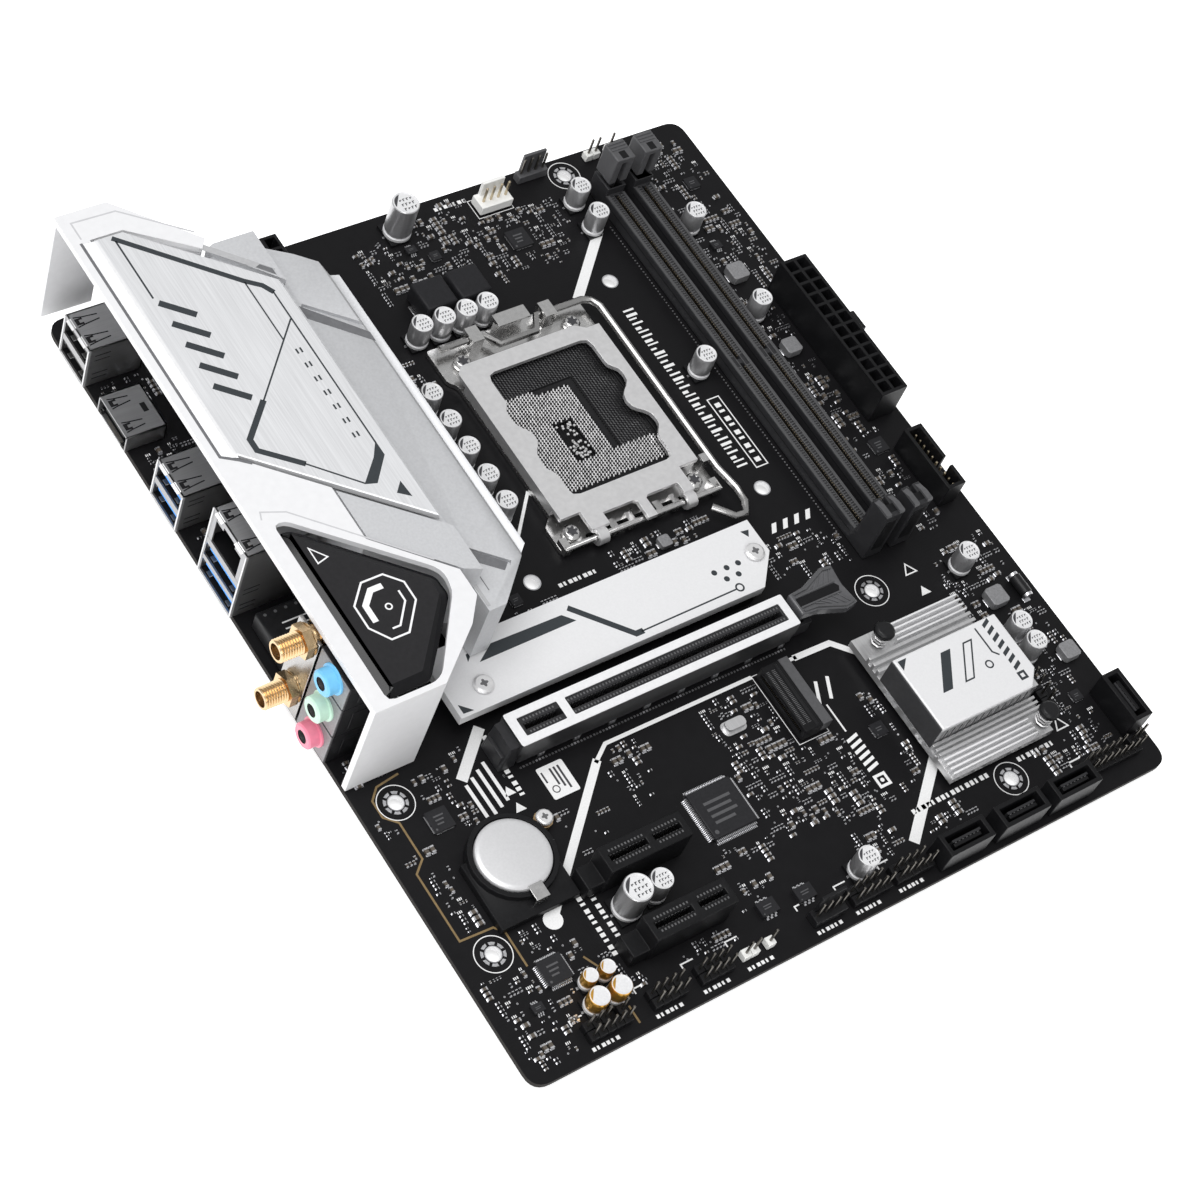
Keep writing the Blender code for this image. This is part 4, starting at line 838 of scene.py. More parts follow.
def make_memory():
    for letter in "ab":
        node = f"memory_slot_{letter}"
        x0, x1, _, _, _, _ = edges(node)
        middle = (x0 + x1) / 2
        recast(node, SLOT_GREY, 0.22, 2)
        recast(f"memory_latch_{letter}", LATCH_GREY, 0.35, 3)
        contacts = Piece(f"memory_contacts_{letter}", CONTACT_DARK, CONTACT)
        ribs = Piece(f"memory_ribs_{letter}", RAIL_GREY, BLACK)
        for d in spread(22.2, 0.85, 147):
            if abs(d - 86.4) < 1.4:
                continue
            for side in (-1, 1):
                contacts.box((middle + side * 0.5, d - 0.2, 2.0),
                             (middle + side * 0.9, d + 0.2, 5.15), 1)
                contacts.box((middle + side * 1.12, d - 0.17, 5.3),
                             (middle + side * 1.5, d + 0.17, 5.54), 0)
                ribs.box((middle + side * 1.5, d - 0.22, 5.3),
                         (middle + side * 2.25, d + 0.22, 5.72), 0)
        for side in (-1, 1):
            ribs.box((middle + side * 0.78, 21.4, 5.3), (middle + side * 1.0, 147.2, 5.75))
            ribs.box((middle + side * 2.2, 21.4, 5.3), (middle + side * 3.1, 147.2, 5.9))
            ribs.box((middle + side * 3.05, 21.6, 3.3), (middle + side * 3.22, 147.0, 3.7), 1)
        contacts.done(slot="gold_plate")
        ribs.done(bevel=0.08, segments=1, slot="black_plastic")
        make_memory_ends(letter, middle)


def make_memory_ends(letter, middle):
    """Sloped cheeks and a guide notch on the fixed end, a grip on the tilting latch."""
    top = edges(f"memory_slot_{letter}")[5]
    fixed = Piece(f"memory_end_{letter}", LATCH_GREY, BLACK)
    for side in (-1, 1):
        a, b = middle + side * 1.5, middle + side * 3.2
        fixed.loft([(a, 148.0), (b, 148.4), (b, 154.5), (a, 154.5)], top - 0.1,
                   [(a, 150.6), (b, 151.2), (b, 154.2), (a, 154.2)], top + 0.7, 0)
    fixed.box((middle - 1.5, 150.7, top - 0.05), (middle + 1.5, 153.2, top + 0.05), 1)
    fixed.box((middle - 1.9, 154.35, 4.0), (middle + 1.9, 154.5, top - 3.0), 1)
    fixed.done(bevel=0.15, slot="grey_plastic")
    moving = Piece(f"memory_latch_grip_{letter}", LATCH_GREY, BLACK)
    high = edges(f"memory_latch_{letter}")[5]
    for step in range(3):
        moving.box((middle - 2.8, 13.9 + step * 1.1, high - 0.1),
                   (middle + 2.8, 14.5 + step * 1.1, high + 0.25), 0)
    moving.box((middle - 1.1, 17.3, high - 0.05), (middle + 1.1, 20.0, high + 0.05), 1)
    moving.done(f"memory_latch_{letter}", bevel=0.12, slot="grey_plastic")


def slot_contacts(name, d, spans, top):
    """Contacts down both inner walls of a card slot, with their tips in the slot's top."""
    piece = Piece(name, CONTACT_DARK)
    reach = 0.75
    for x0, x1 in spans:
        for x in spread(x0 + 0.6, 1.0, int(x1 - x0)):
            for side in (-1, 1):
                piece.box((x - 0.28, d + side * reach, 3.0), (x + 0.28, d + side * (reach + 0.5),
                                                              top - 0.5))
                piece.box((x - 0.22, d + side * 1.5, top - 0.25), (x + 0.22, d + side * 2.1,
                                                                   top + 0.02))
    piece.done(slot="gold_plate")


def make_expansion():
    top = edges("graphics_slot")[5]
    centre = (edges("graphics_slot")[2] + edges("graphics_slot")[3]) / 2
    recast("graphics_slot", SLOT_GREY, 0.2, 2)
    recast("graphics_slot_armour", ARMOUR_SIDE, 0.25, 3)
    recast("graphics_latch", SMOKE, 0.4, 3)
    slot_contacts("graphics_contacts", centre, ((46.2, 57.0), (60.0, 129.0)), top)
    ring = Piece("armour_ring", RING_WHITE)
    outline = rounded(rectangle(42.3, 132.0, centre - 4.95, centre + 4.95), 0.6, 3)
    windows = [rounded(rectangle(x0, x1, centre - 2.7, centre + 2.7), 0.4, 3)
               for x0, x1 in ((45.0, 57.4), (59.9, 129.6))]
    ring.slab(outline, top + 0.05, top + 0.36, 0, windows)
    ring.done(bevel=0.1, slot="brushed_aluminium")
    tabs = Piece("armour_tabs", SOLDER, CONTACT_TIN)
    for x in spread(50.0, 11.2, 8):
        for side in (-1, 1):
            tabs.box((x, centre + side * 4.35, 0.05), (x + 2.0, centre + side * 4.75, 2.4))
    for x in spread(44.4, 1.0, 87):
        tabs.box((x - 0.3, centre + 5.2, 0.0), (x + 0.3, centre + 5.75, 0.04), 1)
    tabs.done(slot="zinc_steel")
    cheek = Piece("graphics_slot_cheek", SLOT_GREY)
    cheek.loft(rounded(rectangle(38.2, 43.2, centre - 4.3, centre + 4.3), 0.5, 3), 0.3,
               rounded(rectangle(39.6, 43.2, centre - 4.1, centre + 4.1), 0.5, 3), top - 0.9, 0)
    cheek.done(bevel=0.2, slot="black_plastic")
    make_graphics_latch_detail(centre)
    for number, d in enumerate((204.0, 224.4), 1):
        recast(f"expansion_slot_{number}", BLACK, 0.25, 2)
        slot_contacts(f"expansion_contacts_{number}", d, ((45.4, 56.4), (58.8, 67.0)),
                      edges(f"expansion_slot_{number}")[5])


def make_graphics_latch_detail(centre):
    """Raised rims, slanted ridges and a dark catch slot on the wings of the graphics latch."""
    high = edges("graphics_latch")[5]
    detail = Piece("graphics_latch_ridges", SMOKE, BLACK, LATCH_GREY)
    detail.slab([(134.0, centre - 1.3), (147.4, centre - 1.3), (148.2, centre), (147.4, centre + 1.3),
                 (134.0, centre + 1.3)], high - 0.05, high + 0.04, 1)
    for side in (-1, 1):
        detail.stroke([(134.2, centre + side * 2.7), (138.6, centre + side * 3.0),
                       (146.2, centre + side * 6.0), (149.2, centre + side * 5.6)], 0.7,
                      high - 0.1, high + 0.55, 2)
        detail.stroke([(134.2, centre + side * 1.6), (147.6, centre + side * 1.7)], 0.5,
                      high - 0.1, high + 0.4, 2)
        for x in spread(139.4, 1.9, 5):
            reach = 2.6 + (x - 138.0) * 0.33
            detail.stroke([(x - 0.8, centre + side * 1.9), (x + 1.6, centre + side * reach)], 0.4,
                          high - 0.1, high + 0.25, 0)
    detail.done("graphics_latch", bevel=0.1, slot="grey_plastic")


make_memory()
make_expansion()


# Drive slots and heatsink --------------------------------------------------------------------------

def make_drives():
    recast("m2_heatsink", PLATE_WHITE, 0.3, 2)
    top = edges("m2_heatsink")[5]
    ink = Piece("drive_heatsink_print", SLATE)
    high = top + INK
    ink.slab([(52.8, 137.8), (74.8, 138.2), (77.6, 141.2), (47.2, 141.4)], top, high)
    ink.slab([(45.0, 138.0), (47.2, 137.7), (44.4, 140.2)], top, high)
    ink.stroke([(77.5, 137.0), (90.2, 151.2), (92.6, 151.2)], 1.7, top, high)
    ink.stroke([(92.0, 151.2), (123.8, 150.9)], 0.45, top, high)
    ink.slab(circle(125.0, 150.8, 1.35, 28), top, high, 0, [circle(125.0, 150.8, 0.85, 28)])
    for x, d in ((121.0, 144.1), (125.2, 144.1), (129.1, 144.1), (123.2, 147.1), (127.2, 147.1)):
        ink.slab(circle(x, d, 0.85, 14), top, high)
    ink.slab([(35.2, 152.6), (38.3, 152.8), (35.2, 149.8)], top, high)
    ink.slab([(135.6, 136.0), (138.2, 136.4), (136.9, 138.4)], top, high)
    ink.done(slot="brushed_aluminium")
    # Dark six-lobed discs on the screw heads: painted shade in their recesses.
    recess = Piece("drive_screw_recess_shade", HOLE_SHADE)
    for number in (1, 2):
        node = f"m2_heatsink_screw_{number}"
        recast(node, NICKEL, 0.15, 2)
        x0, x1, d0, d1, _, z1 = edges(node)
        torx(recess, (x0 + x1) / 2, (d0 + d1) / 2, z1, 1.2, 0, 4)
    x0, x1, d0, d1, _, z1 = edges("m2_standoff_screw")
    torx(recess, (x0 + x1) / 2, (d0 + d1) / 2, z1, 1.0, 0, 4)
    recess.done(slot="zinc_steel")
    recast("m2_slot_upper", BLACK, 0.12, 2)
    recast("m2_slot_lower", BLACK, 0.12, 2)
    low = edges("m2_slot_lower")
    bar = Piece("drive_slot_bar", LATCH_GREY, CONTACT_DARK, BLACK_SATIN)
    bar.box((low[0] + 5.8, low[2] - 0.1, 2.0), (low[1] + 0.05, low[3] + 0.1, low[5] + 0.25), 0)
    bar.box((low[0] + 3.9, low[2] + 0.6, low[5] - 0.1), (low[0] + 4.7, low[3] - 0.6, low[5] + 0.12), 2)
    for d in spread(low[2] + 2.0, 0.5, 35):
        bar.box((low[0] + 0.5, d - 0.13, low[5] - 0.1), (low[0] + 1.5, d + 0.13, low[5] + 0.03), 1)
        bar.box((low[0] + 2.2, d - 0.13, low[5] - 0.1), (low[0] + 3.4, d + 0.13, low[5] + 0.03), 1)
    bar.done(bevel=0.06, segments=1, slot="grey_plastic")
    recast("m2_standoff", GOLD, 0.1, 2)
    recast("m2_standoff_screw", NICKEL, 0.12, 2)
    pins = Piece("drive_slot_contacts", CONTACT, TIN)
    for node in ("m2_slot_upper", "m2_slot_lower"):
        x0, x1, d0, d1, _, z1 = edges(node)
        for d in spread(d0 + 1.8, 0.5, int((d1 - d0 - 3.4) / 0.5)):
            pins.box((x0 + 0.6, d - 0.11, 1.75), (x0 + 4.4, d + 0.11, 1.95))
            pins.box((x0 + 0.6, d + 0.14, z1 - 1.55), (x0 + 4.0, d + 0.36, z1 - 1.35))
            pins.box((x1 - 0.3, d - 0.11, 0.0), (x1 + 0.9, d + 0.11, 0.16), 1)
    pins.done(slot="gold_plate")


make_drives()


# Upright data ports, power and headers -------------------------------------------------------------

def make_storage_ports():
    for number in (1, 2, 3, 4):
        node = f"sata_port_{number}"
        recast(node, BLACK, 0.18, 2)
        x0, x1, d0, d1, _, _ = edges(node)
        contacts = Piece(f"sata_contacts_{number}", CONTACT_DARK, SLOT_GREY)
        lying = x1 - x0 > d1 - d0
        centre = (d0 + d1) / 2 if lying else (x0 + x1) / 2
        start = (x0 if lying else d0) + 4.1
        for run in spread(start, 1.27, 7):
            if lying:
                contacts.box((run - 0.3, centre - 0.02, 2.6), (run + 0.3, centre + 0.22, 7.9))
            else:
                contacts.box((centre - 0.02, run - 0.3, 2.6), (centre + 0.22, run + 0.3, 7.9))
        if lying:
            contacts.box((x0 + 3.2, centre - 0.7, 2.0), (x0 + 12.8, centre - 0.05, 8.1), 1)
        else:
            contacts.box((centre - 0.7, d0 + 3.2, 2.0), (centre - 0.05, d0 + 12.8, 8.1), 1)
        contacts.done(slot="gold_plate")


POWER_PITCH = 4.2
PLUG_SIDE = 208.7                        # x where the 24-way housing ends and its ledge begins


def make_power():
    for node, columns, rows in (("power_connector_24", 2, 12), ("power_connector_8", 4, 2)):
        recast(node, BLACK, 0.2, 2)
        x0, x1, d0, d1, _, z1 = edges(node)
        if node == "power_connector_24":
            x1 = PLUG_SIDE
        pins = Piece(node + "_pins", CONTACT_TIN)
        for column in range(columns):
            for row in range(rows):
                x = (x0 + x1) / 2 + (column - (columns - 1) / 2) * POWER_PITCH
                d = (d0 + d1) / 2 + (row - (rows - 1) / 2) * POWER_PITCH
                pins.box((x - 0.5, d - 0.5, 2.4), (x + 0.5, d + 0.5, z1 - 3.6))
        pins.done(bevel=0.15, slot="zinc_steel")


def header(name, x0, x1, d0, d1, columns, rows, colour, height, base, missing=(), wall=False):
    """A pin header: a base with square pins, and a friction wall behind on fan headers."""
    piece = Piece(name, colour, PIN_DARK)
    pitch_x = (x1 - x0) / columns
    pitch_d = (d1 - d0) / rows
    for column in range(columns):
        for row in range(rows):
            x, d = x0 + pitch_x * (column + 0.5), d0 + pitch_d * (row + 0.5)
            if (column, row) in missing:
                continue
            if not wall:
                piece.box((x - pitch_x * 0.47, d - pitch_d * 0.47, 0.15),
                          (x + pitch_x * 0.47, d + pitch_d * 0.47, base), 0)
            piece.box((x - 0.32, d - 0.32, 0.1), (x + 0.32, d + 0.32, height), 1)
    if wall:
        piece.box((x0, d0, 0.15), (x1, d1, base), 0)
        piece.box((x0 + 1.2, d0, base - 0.4), (x1 - 1.2, d0 + 0.9, height + 0.8), 0)
    piece.done(bevel=0.14, segments=1, slot="black_plastic" if colour != NYLON else "white_nylon")


def make_headers():
    recast("usb3_front_header", BLACK, 0.18, 2)
    pins = Piece("front_header_pins", CONTACT)
    for d in spread(129.0, 2.0, 10):
        for x in (203.0, 205.0):
            if (x, d) != (203.0, 147.0):
                pins.box((x - 0.3, d - 0.3, 1.6), (x + 0.3, d + 0.3, 6.8))
    pins.done(bevel=0.08, segments=1, slot="gold_plate")
    recast("cpu_fan_header", NYLON, 0.2, 2)
    pins = Piece("fan_header_pins", CONTACT)
    for x in spread(134.2, 2.54, 4):
        pins.box((x - 0.32, 8.0, 3.0), (x + 0.32, 8.64, 9.0))
    pins.done(bevel=0.1, segments=1, slot="gold_plate")
    header("fan_header_1", 149.6, 159.8, 1.6, 4.4, 4, 1, LATCH_GREY, 9.0, 3.0, wall=True)
    header("light_header_1", 174.0, 184.2, 1.8, 4.4, 4, 1, NYLON, 8.4, 2.6, missing=((2, 0),))
    header("audio_header", 18.4, 31.1, 235.2, 240.3, 5, 2, BLACK, 8.6, 2.5, missing=((3, 0),))
    header("debug_header", 37.6, 47.8, 235.2, 240.3, 4, 2, BLACK, 8.6, 2.5)
    header("port_header", 52.2, 62.4, 235.2, 240.3, 4, 2, BLACK, 8.6, 2.5)
    header("light_header_2", 65.6, 75.8, 237.0, 239.6, 4, 1, NYLON, 8.4, 2.6, missing=((2, 0),))
    header("fan_header_2", 88.2, 98.4, 236.4, 240.2, 4, 1, BLACK_SATIN, 9.0, 3.0, wall=True)
    header("usb_header_1", 101.0, 113.7, 235.2, 240.3, 5, 2, BLACK, 8.6, 2.5, missing=((4, 0),))
    header("usb_header_2", 115.4, 128.1, 235.2, 240.3, 5, 2, BLACK, 8.6, 2.5, missing=((4, 0),))
    header("front_panel_header", 184.6, 207.4, 233.2, 238.3, 9, 2, BLACK, 8.6, 2.5,
           missing=((6, 0), (8, 1)))
    header("fan_header_3", 186.6, 189.9, 205.6, 215.8, 1, 4, BLACK_SATIN, 8.8, 3.0)


make_storage_ports()
make_power()
make_headers()


# Rear ports ----------------------------------------------------------------------------------------

def shell_skin(piece, front, back, d0, d1, height, mouths, index=0, skin=0.45):
    """Sheet metal round a port: top, sides, back, and a front frame around its mouths."""
    piece.box((front, d0, height - skin), (back, d1, height), index)
    piece.box((back - skin, d0, 0.4), (back, d1, height), index)
    for d in (d0, d1 - skin):
        piece.box((front, d, 0.4), (back, d + skin, height), index)
    levels = [0.4] + [z for pair in mouths for z in pair] + [height]
    for low, high in zip(levels[::2], levels[1::2]):
        piece.box((front - 0.1, d0, low), (front + skin, d1, high), index)
    for low, high in mouths:
        for d in (d0, d1 - skin - 0.3):
            piece.box((front - 0.1, d, low - 0.2), (front + skin, d + skin + 0.3, high + 0.2), index)


def spring_slots(piece, x, d, level, index, length=6.0):
    """Two dark slots drawing together behind a dark mouth, with a bright finger between; the dark is
    painted shade inside the openings.
    """
    for side in (-1, 1):
        piece.stroke([(x - 0.6, d + side * 1.65), (x + length * 0.3, d + side * 1.2),
                      (x + length, d + side * 0.75)], 0.42, level - 0.3, level + 0.02, index)
    piece.stroke([(x - 0.6, d), (x + 1.6, d)], 2.2, level - 0.3, level + 0.02, index)
    piece.box((x + 0.5, d - 0.45, level - 0.1), (x + 2.4, d + 0.45, level + 0.12), 0)


def port_mouth(piece, front, d0, d1, low, high, tongue_index, inner_index, metal, contact):
    """A receptacle: dark back, a raised tongue with contacts, and side springs."""
    middle = (low + high) / 2
    piece.box((front + 9.6, d0 + 0.5, low), (front + 10.0, d1 - 0.5, high), inner_index)
    piece.box((front + 0.9, d0 + 1.5, middle - 0.15), (front + 9.8, d1 - 1.5, middle + 1.35),
              tongue_index)
    for number in range(4):
        d = (d0 + d1) / 2 + (number - 1.5) * 2.3
        piece.box((front + 1.2, d - 0.5, middle - 0.27), (front + 8.8, d + 0.5, middle - 0.12),
                  contact)
    for d in (d0 + 0.46, d1 - 0.76):
        piece.box((front + 1.0, d, middle - 0.7), (front + 7.0, d + 0.3, middle + 0.7), metal)
    for d in (d0 + 3.4, d1 - 3.4):
        piece.box((front + 0.8, d - 0.9, high - 0.4), (front + 6.0, d + 0.9, high - 0.15), metal)
        piece.box((front + 0.8, d - 0.9, low + 0.1), (front + 6.0, d + 0.9, low + 0.35), metal)


def make_port_stack(node, mouths, tongue):
    x0, x1, d0, d1, z0, z1 = edges(node)
    piece = Piece(node + "_shell", SHELL, BLACK, tongue, PORT_SLOT_SHADE, CONTACT, SHELL_BRIGHT)
    shell_skin(piece, x0, x1, d0, d1, z1, mouths)
    piece.box((x0 + 10.0, d0 + 0.5, z0 + 0.1), (x1 - 0.5, d1 - 0.5, z1 - 0.5), 1)
    for low, high in zip([z0, *[m[1] for m in mouths]], [m[0] for m in mouths] + [z1 - 0.5]):
        piece.box((x0 + 0.5, d0 + 0.5, low), (x0 + 10.0, d1 - 0.5, high), 1)
    for low, high in mouths[:2]:
        port_mouth(piece, x0, d0, d1, low, high, 2, 1, 0, 4)
    for d in (d0 + 3.4, d1 - 3.4):
        spring_slots(piece, x0 + 1.6, d, z1, 3)
    # Thin dark slits on the shell's sides: painted shade inside the openings.
    for low, high in mouths[:2]:
        for d in (d0, d1):
            piece.box((x0 + 2.0, d - 0.04, (low + high) / 2 - 1.2),
                      (x0 + 6.6, d + 0.04, (low + high) / 2 - 0.8), 3)
            piece.box((x0 + 2.0, d - 0.04, (low + high) / 2 + 0.8),
                      (x0 + 6.6, d + 0.04, (low + high) / 2 + 1.2), 3)
    for d in (d0 + 3.4, d1 - 3.4):
        lip = piece.box((x0 - 0.9, d - 1.7, z1 - 0.1), (x0 + 0.4, d + 1.7, z1 + 0.12), 5)
        turn = Matrix.Translation((x0 + 0.4, 0.0, z1)) @ Matrix.Rotation(math.radians(-24), 4, "Y")
        piece.move(lip, turn @ Matrix.Translation((-x0 - 0.4, 0.0, -z1)))
    for d in (d0 + 0.15, d1 - 0.15):
        piece.box((x0 - 0.3, d - 0.25, z0 + 0.3), (x0 + 0.5, d + 0.25, z1 - 0.2), 5)
    return piece


def make_network_port():
    """A network jack over two port mouths: a black mouth, two blocks at its top, gold wires."""
    piece = make_port_stack("lan_usb_stack", ((1.4, 6.6), (8.2, 13.4), (15.6, 26.0)), BLUE)
    x0, _, d0, d1, _, _ = edges("lan_usb_stack")
    for d in (d0 + 0.75, d1 - 2.2):
        piece.box((x0 - 0.05, d, 15.4), (x0 + 0.5, d + 1.45, 26.2), 0)
    piece.box((x0 + 0.1, d0 + 2.0, 24.2), (x0 + 9.8, d0 + 5.4, 26.2), 0)
    piece.box((x0 + 0.1, d1 - 5.4, 24.2), (x0 + 9.8, d1 - 2.0, 26.2), 0)
    for number in range(8):
        d = (d0 + d1) / 2 + (number - 3.5) * 1.02
        wire = piece.box((x0 + 3.2, d - 0.2, 17.0), (x0 + 9.0, d + 0.2, 17.25), 4)
        piece.move(wire, Matrix.Translation((x0 + 9.0, 0, 17.1))
                   @ Matrix.Rotation(math.radians(22), 4, "Y")
                   @ Matrix.Translation((-x0 - 9.0, 0, -17.1)))
    piece.done(bevel=0.1, segments=1, stands_for=("lan_usb_stack",), slot="port_shell")


def make_video_port():
    x0, x1, d0, d1, z0, z1 = edges("video_port")
    piece = Piece("video_port_shell", SHELL, BLACK, PORT_SLOT_SHADE, CONTACT)
    piece.box((x0 + 1.2, d0 + 0.5, z0 + 0.1), (x1 - 0.5, d1 - 0.5, z0 + 0.9), 1)
    piece.box((x0 + 9.6, d0 + 0.5, z0), (x1 - 0.6, d1 - 0.5, z1 - 0.6), 1)
    piece.box((x0, d0, z1 - 0.5), (x1, d1, z1), 0)
    piece.box((x1 - 0.5, d0, z0), (x1, d1, z1), 0)
    for side in (0, 1):
        d = d1 - 0.5 if side else d0
        corner = d1 - 2.3 if side else d0 + 1.8
        piece.box((x0, d, z0 + 2.2), (x1, d + 0.5, z1), 0)
        piece.slab([(x0, d), (x0, d + 0.5), (x1, d + 0.5), (x1, d)], z0 + 0.2, z0 + 2.3, 0)
        piece.box((x0, corner, z0 + 0.3), (x0 + 9.6, corner + 0.5, z0 + 1.2), 1)
    piece.box((x0, d0 + 1.8, z0 + 0.2), (x0 + 9.0, d1 - 1.8, z0 + 0.7), 0)
    piece.box((x0 + 0.9, d0 + 2.6, 2.9), (x0 + 9.8, d1 - 2.6, 4.1), 1)
    for d in spread(d0 + 3.2, 0.5, 18):
        piece.box((x0 + 1.2, d - 0.12, 2.8), (x0 + 8.6, d + 0.12, 2.92), 3)
    for d in (d0 + 3.4, d1 - 3.4):
        spring_slots(piece, x0 + 1.6, d, z1, 2, 5.2)
    # A dark patch on the top: painted shade inside an opening.
    piece.box((x1 - 3.6, (d0 + d1) / 2 - 1.5, z1 - 0.2), (x1 - 2.0, (d0 + d1) / 2 + 1.5, z1 + 0.02),
              2)
    piece.done(bevel=0.1, segments=1, stands_for=("video_port",), slot="port_shell")


def make_antenna_jacks():
    recast("antenna_bracket", LEVER_STEEL, 0.15, 2)
    recast("wireless_module", BLACK_SATIN, 0.3, 2)
    x0, x1, d0, d1, _, z1 = edges("wireless_module")
    holes = Piece("wireless_shield_marks", HOLE_SHADE, PRINT)
    # Dark discs standing for the shield's holes are painted shade; the bars below are print.
    for x in spread(x0 + 2.2, 3.0, 6):
        holes.slab(circle(x, d0 + 1.6, 0.45, 12), z1 - 0.1, z1 + 0.02)
        holes.slab(circle(x, d1 - 1.6, 0.45, 12), z1 - 0.1, z1 + 0.02)
    for row, d in enumerate(spread(d0 + 5.2, 1.9, 4)):
        holes.box((x0 + 5.0, d, z1), (x1 - 5.0 - row, d + 0.4, z1 + 0.03), 1)
    holes.done(slot="black_plastic")
    for number in (1, 2):
        node = f"antenna_jack_{number}"
        x0, x1, d0, d1, z0, z1 = edges(node)
        d, z = (d0 + d1) / 2, (z0 + z1) / 2
        jack = Piece(node + "_threaded", GOLD, NYLON)
        profile = [(2.2, 10.3), (2.85, 10.3)]
        for step in range(9):
            profile += [(3.08, 9.95 - step * 0.74), (2.66, 9.58 - step * 0.74)]
        profile += [(3.0, 3.0), (3.0, -5.0), (0.0, -5.0), (0.0, 2.4), (2.1, 2.4), (2.2, 10.3)]
        jack.lathe(profile, (0.0, d, z), 0, 28, "X")
        jack.lathe([(0.0, 6.4), (1.5, 6.4), (1.5, 2.3), (0.0, 2.3)], (0.0, d, z), 1, 20, "X")
        jack.lathe([(0.0, 7.6), (0.35, 7.6), (0.45, 6.3), (0.0, 6.3)], (0.0, d, z), 0, 12, "X")
        for x, radius, length in ((-2.7, 4.6, 2.4), (2.0, 4.2, 2.6)):
            jack.rod((x, d, z), radius, length, "X", 0, 6)
        jack.rod((-1.25, d, z), 4.3, 0.35, "X", 0, 28)
        jack.done(stands_for=(node,), slot="gold_plate")


def make_audio():
    x0, x1, d0, d1, z0, z1 = edges("audio_jack_block")
    front = -1.0
    body = Piece("audio_jack_housing", BLACK_SATIN, COIL_GREY, TIN)
    spots = [(140.6, z) for z in (6.5, 19.0, 31.3)]
    for low, high in ((z0, 12.6), (12.75, 25.1), (25.25, z1)):
        body.box((front + 0.4, d0, low), (x1, d1, high), 0)
        body.box((front + 0.1, d0 + 0.3, low + 0.3), (front + 0.6, d1 - 0.3, high - 0.3), 1)
    for low in (2.0, 14.5, 27.0):
        body.box((3.0, d0 - 0.12, low), (9.6, d0 + 0.2, low + 7.4), 0)
        body.box((3.0, d1 - 0.2, low), (9.6, d1 + 0.12, low + 7.4), 0)
        body.box((5.0, d0 - 0.12, low + 0.8), (8.0, d0, low + 3.4), 2)
    body.done(bevel=0.2, stands_for=("audio_jack_block",), slot="grey_plastic")
    for name, colour, (d, z) in zip(("low", "middle", "high"), (PINK, MINT, SKY), spots):
        ring = Piece("audio_ring_" + name, colour, BLACK, SHELL)
        reach = front - x0
        ring.lathe([(1.85, reach + 1.9), (3.1, reach + 1.9), (3.55, reach + 1.5),
                    (3.6, 1.6), (4.15, 1.4), (4.15, 0.9), (1.0, 0.9), (1.0, 1.2), (1.85, 1.35),
                    (1.85, reach + 1.9)], (0.0, d, z), 0, 36, "X",
                   marks=(0, 0, 0, 0, 0, 0, 1, 1, 1))
        ring.lathe([(1.75, reach + 1.6), (1.85, reach + 1.6), (1.85, 1.4), (1.72, 1.4),
                    (1.75, reach + 1.6)], (0.0, d, z), 2, 28, "X")
        ring.lathe([(0.0, 1.05), (1.8, 1.05), (1.8, 0.8), (0.0, 0.8)], (0.0, d, z), 1, 24, "X")
        ring.done(slot="grey_plastic")


def make_rear():
    for node, mouths, tongue in (("usb2_stack", ((1.4, 6.6), (8.9, 14.2)), BLACK_SATIN),
                                 ("usb3_stack", ((1.4, 6.6), (8.9, 14.2)), BLUE)):
        make_port_stack(node, mouths, tongue).done(bevel=0.1, segments=1, stands_for=(node,),
                                                   slot="port_shell")
    make_network_port()
    make_video_port()
    make_antenna_jacks()
    make_audio()


make_rear()


# Battery and chipset -------------------------------------------------------------------------------

def make_battery():
    recast("battery_holder", BLACK, 0.3, 2)
    x0, x1, d0, d1, z0, z1 = edges("coin_cell")
    x, d = (x0 + x1) / 2, (d0 + d1) / 2
    cell = Piece("coin_cell_finished", CELL, TIN, BLACK)
    cell.lathe([(0.0, z1), (8.6, z1), (9.3, z1 - 0.12), (9.8, z1 - 0.45), (10.0, z1 - 0.9),
                (10.0, z0 + 0.9), (9.7, z0 + 0.5), (9.3, z0 + 0.4), (9.3, z0 + 0.2),
                (8.6, z0), (0.0, z0)], (x, d, 0.0), 0, 72, marks=(0, 0, 0, 0, 0, 0, 2, 2, 0, 0))
    cell.done(stands_for=("coin_cell",), slot="cell_steel", angle=30.0)
    clip = Piece("battery_clip", NICKEL_DARK)
    clip.box((x - 2.0, d + 9.2, z1 - 0.1), (x + 2.0, d + 13.6, z1 + 0.25))
    clip.box((x - 2.0, d + 13.2, 2.7), (x + 2.0, d + 13.6, z1 + 0.2))
    clip.done(bevel=0.1, slot="zinc_steel")


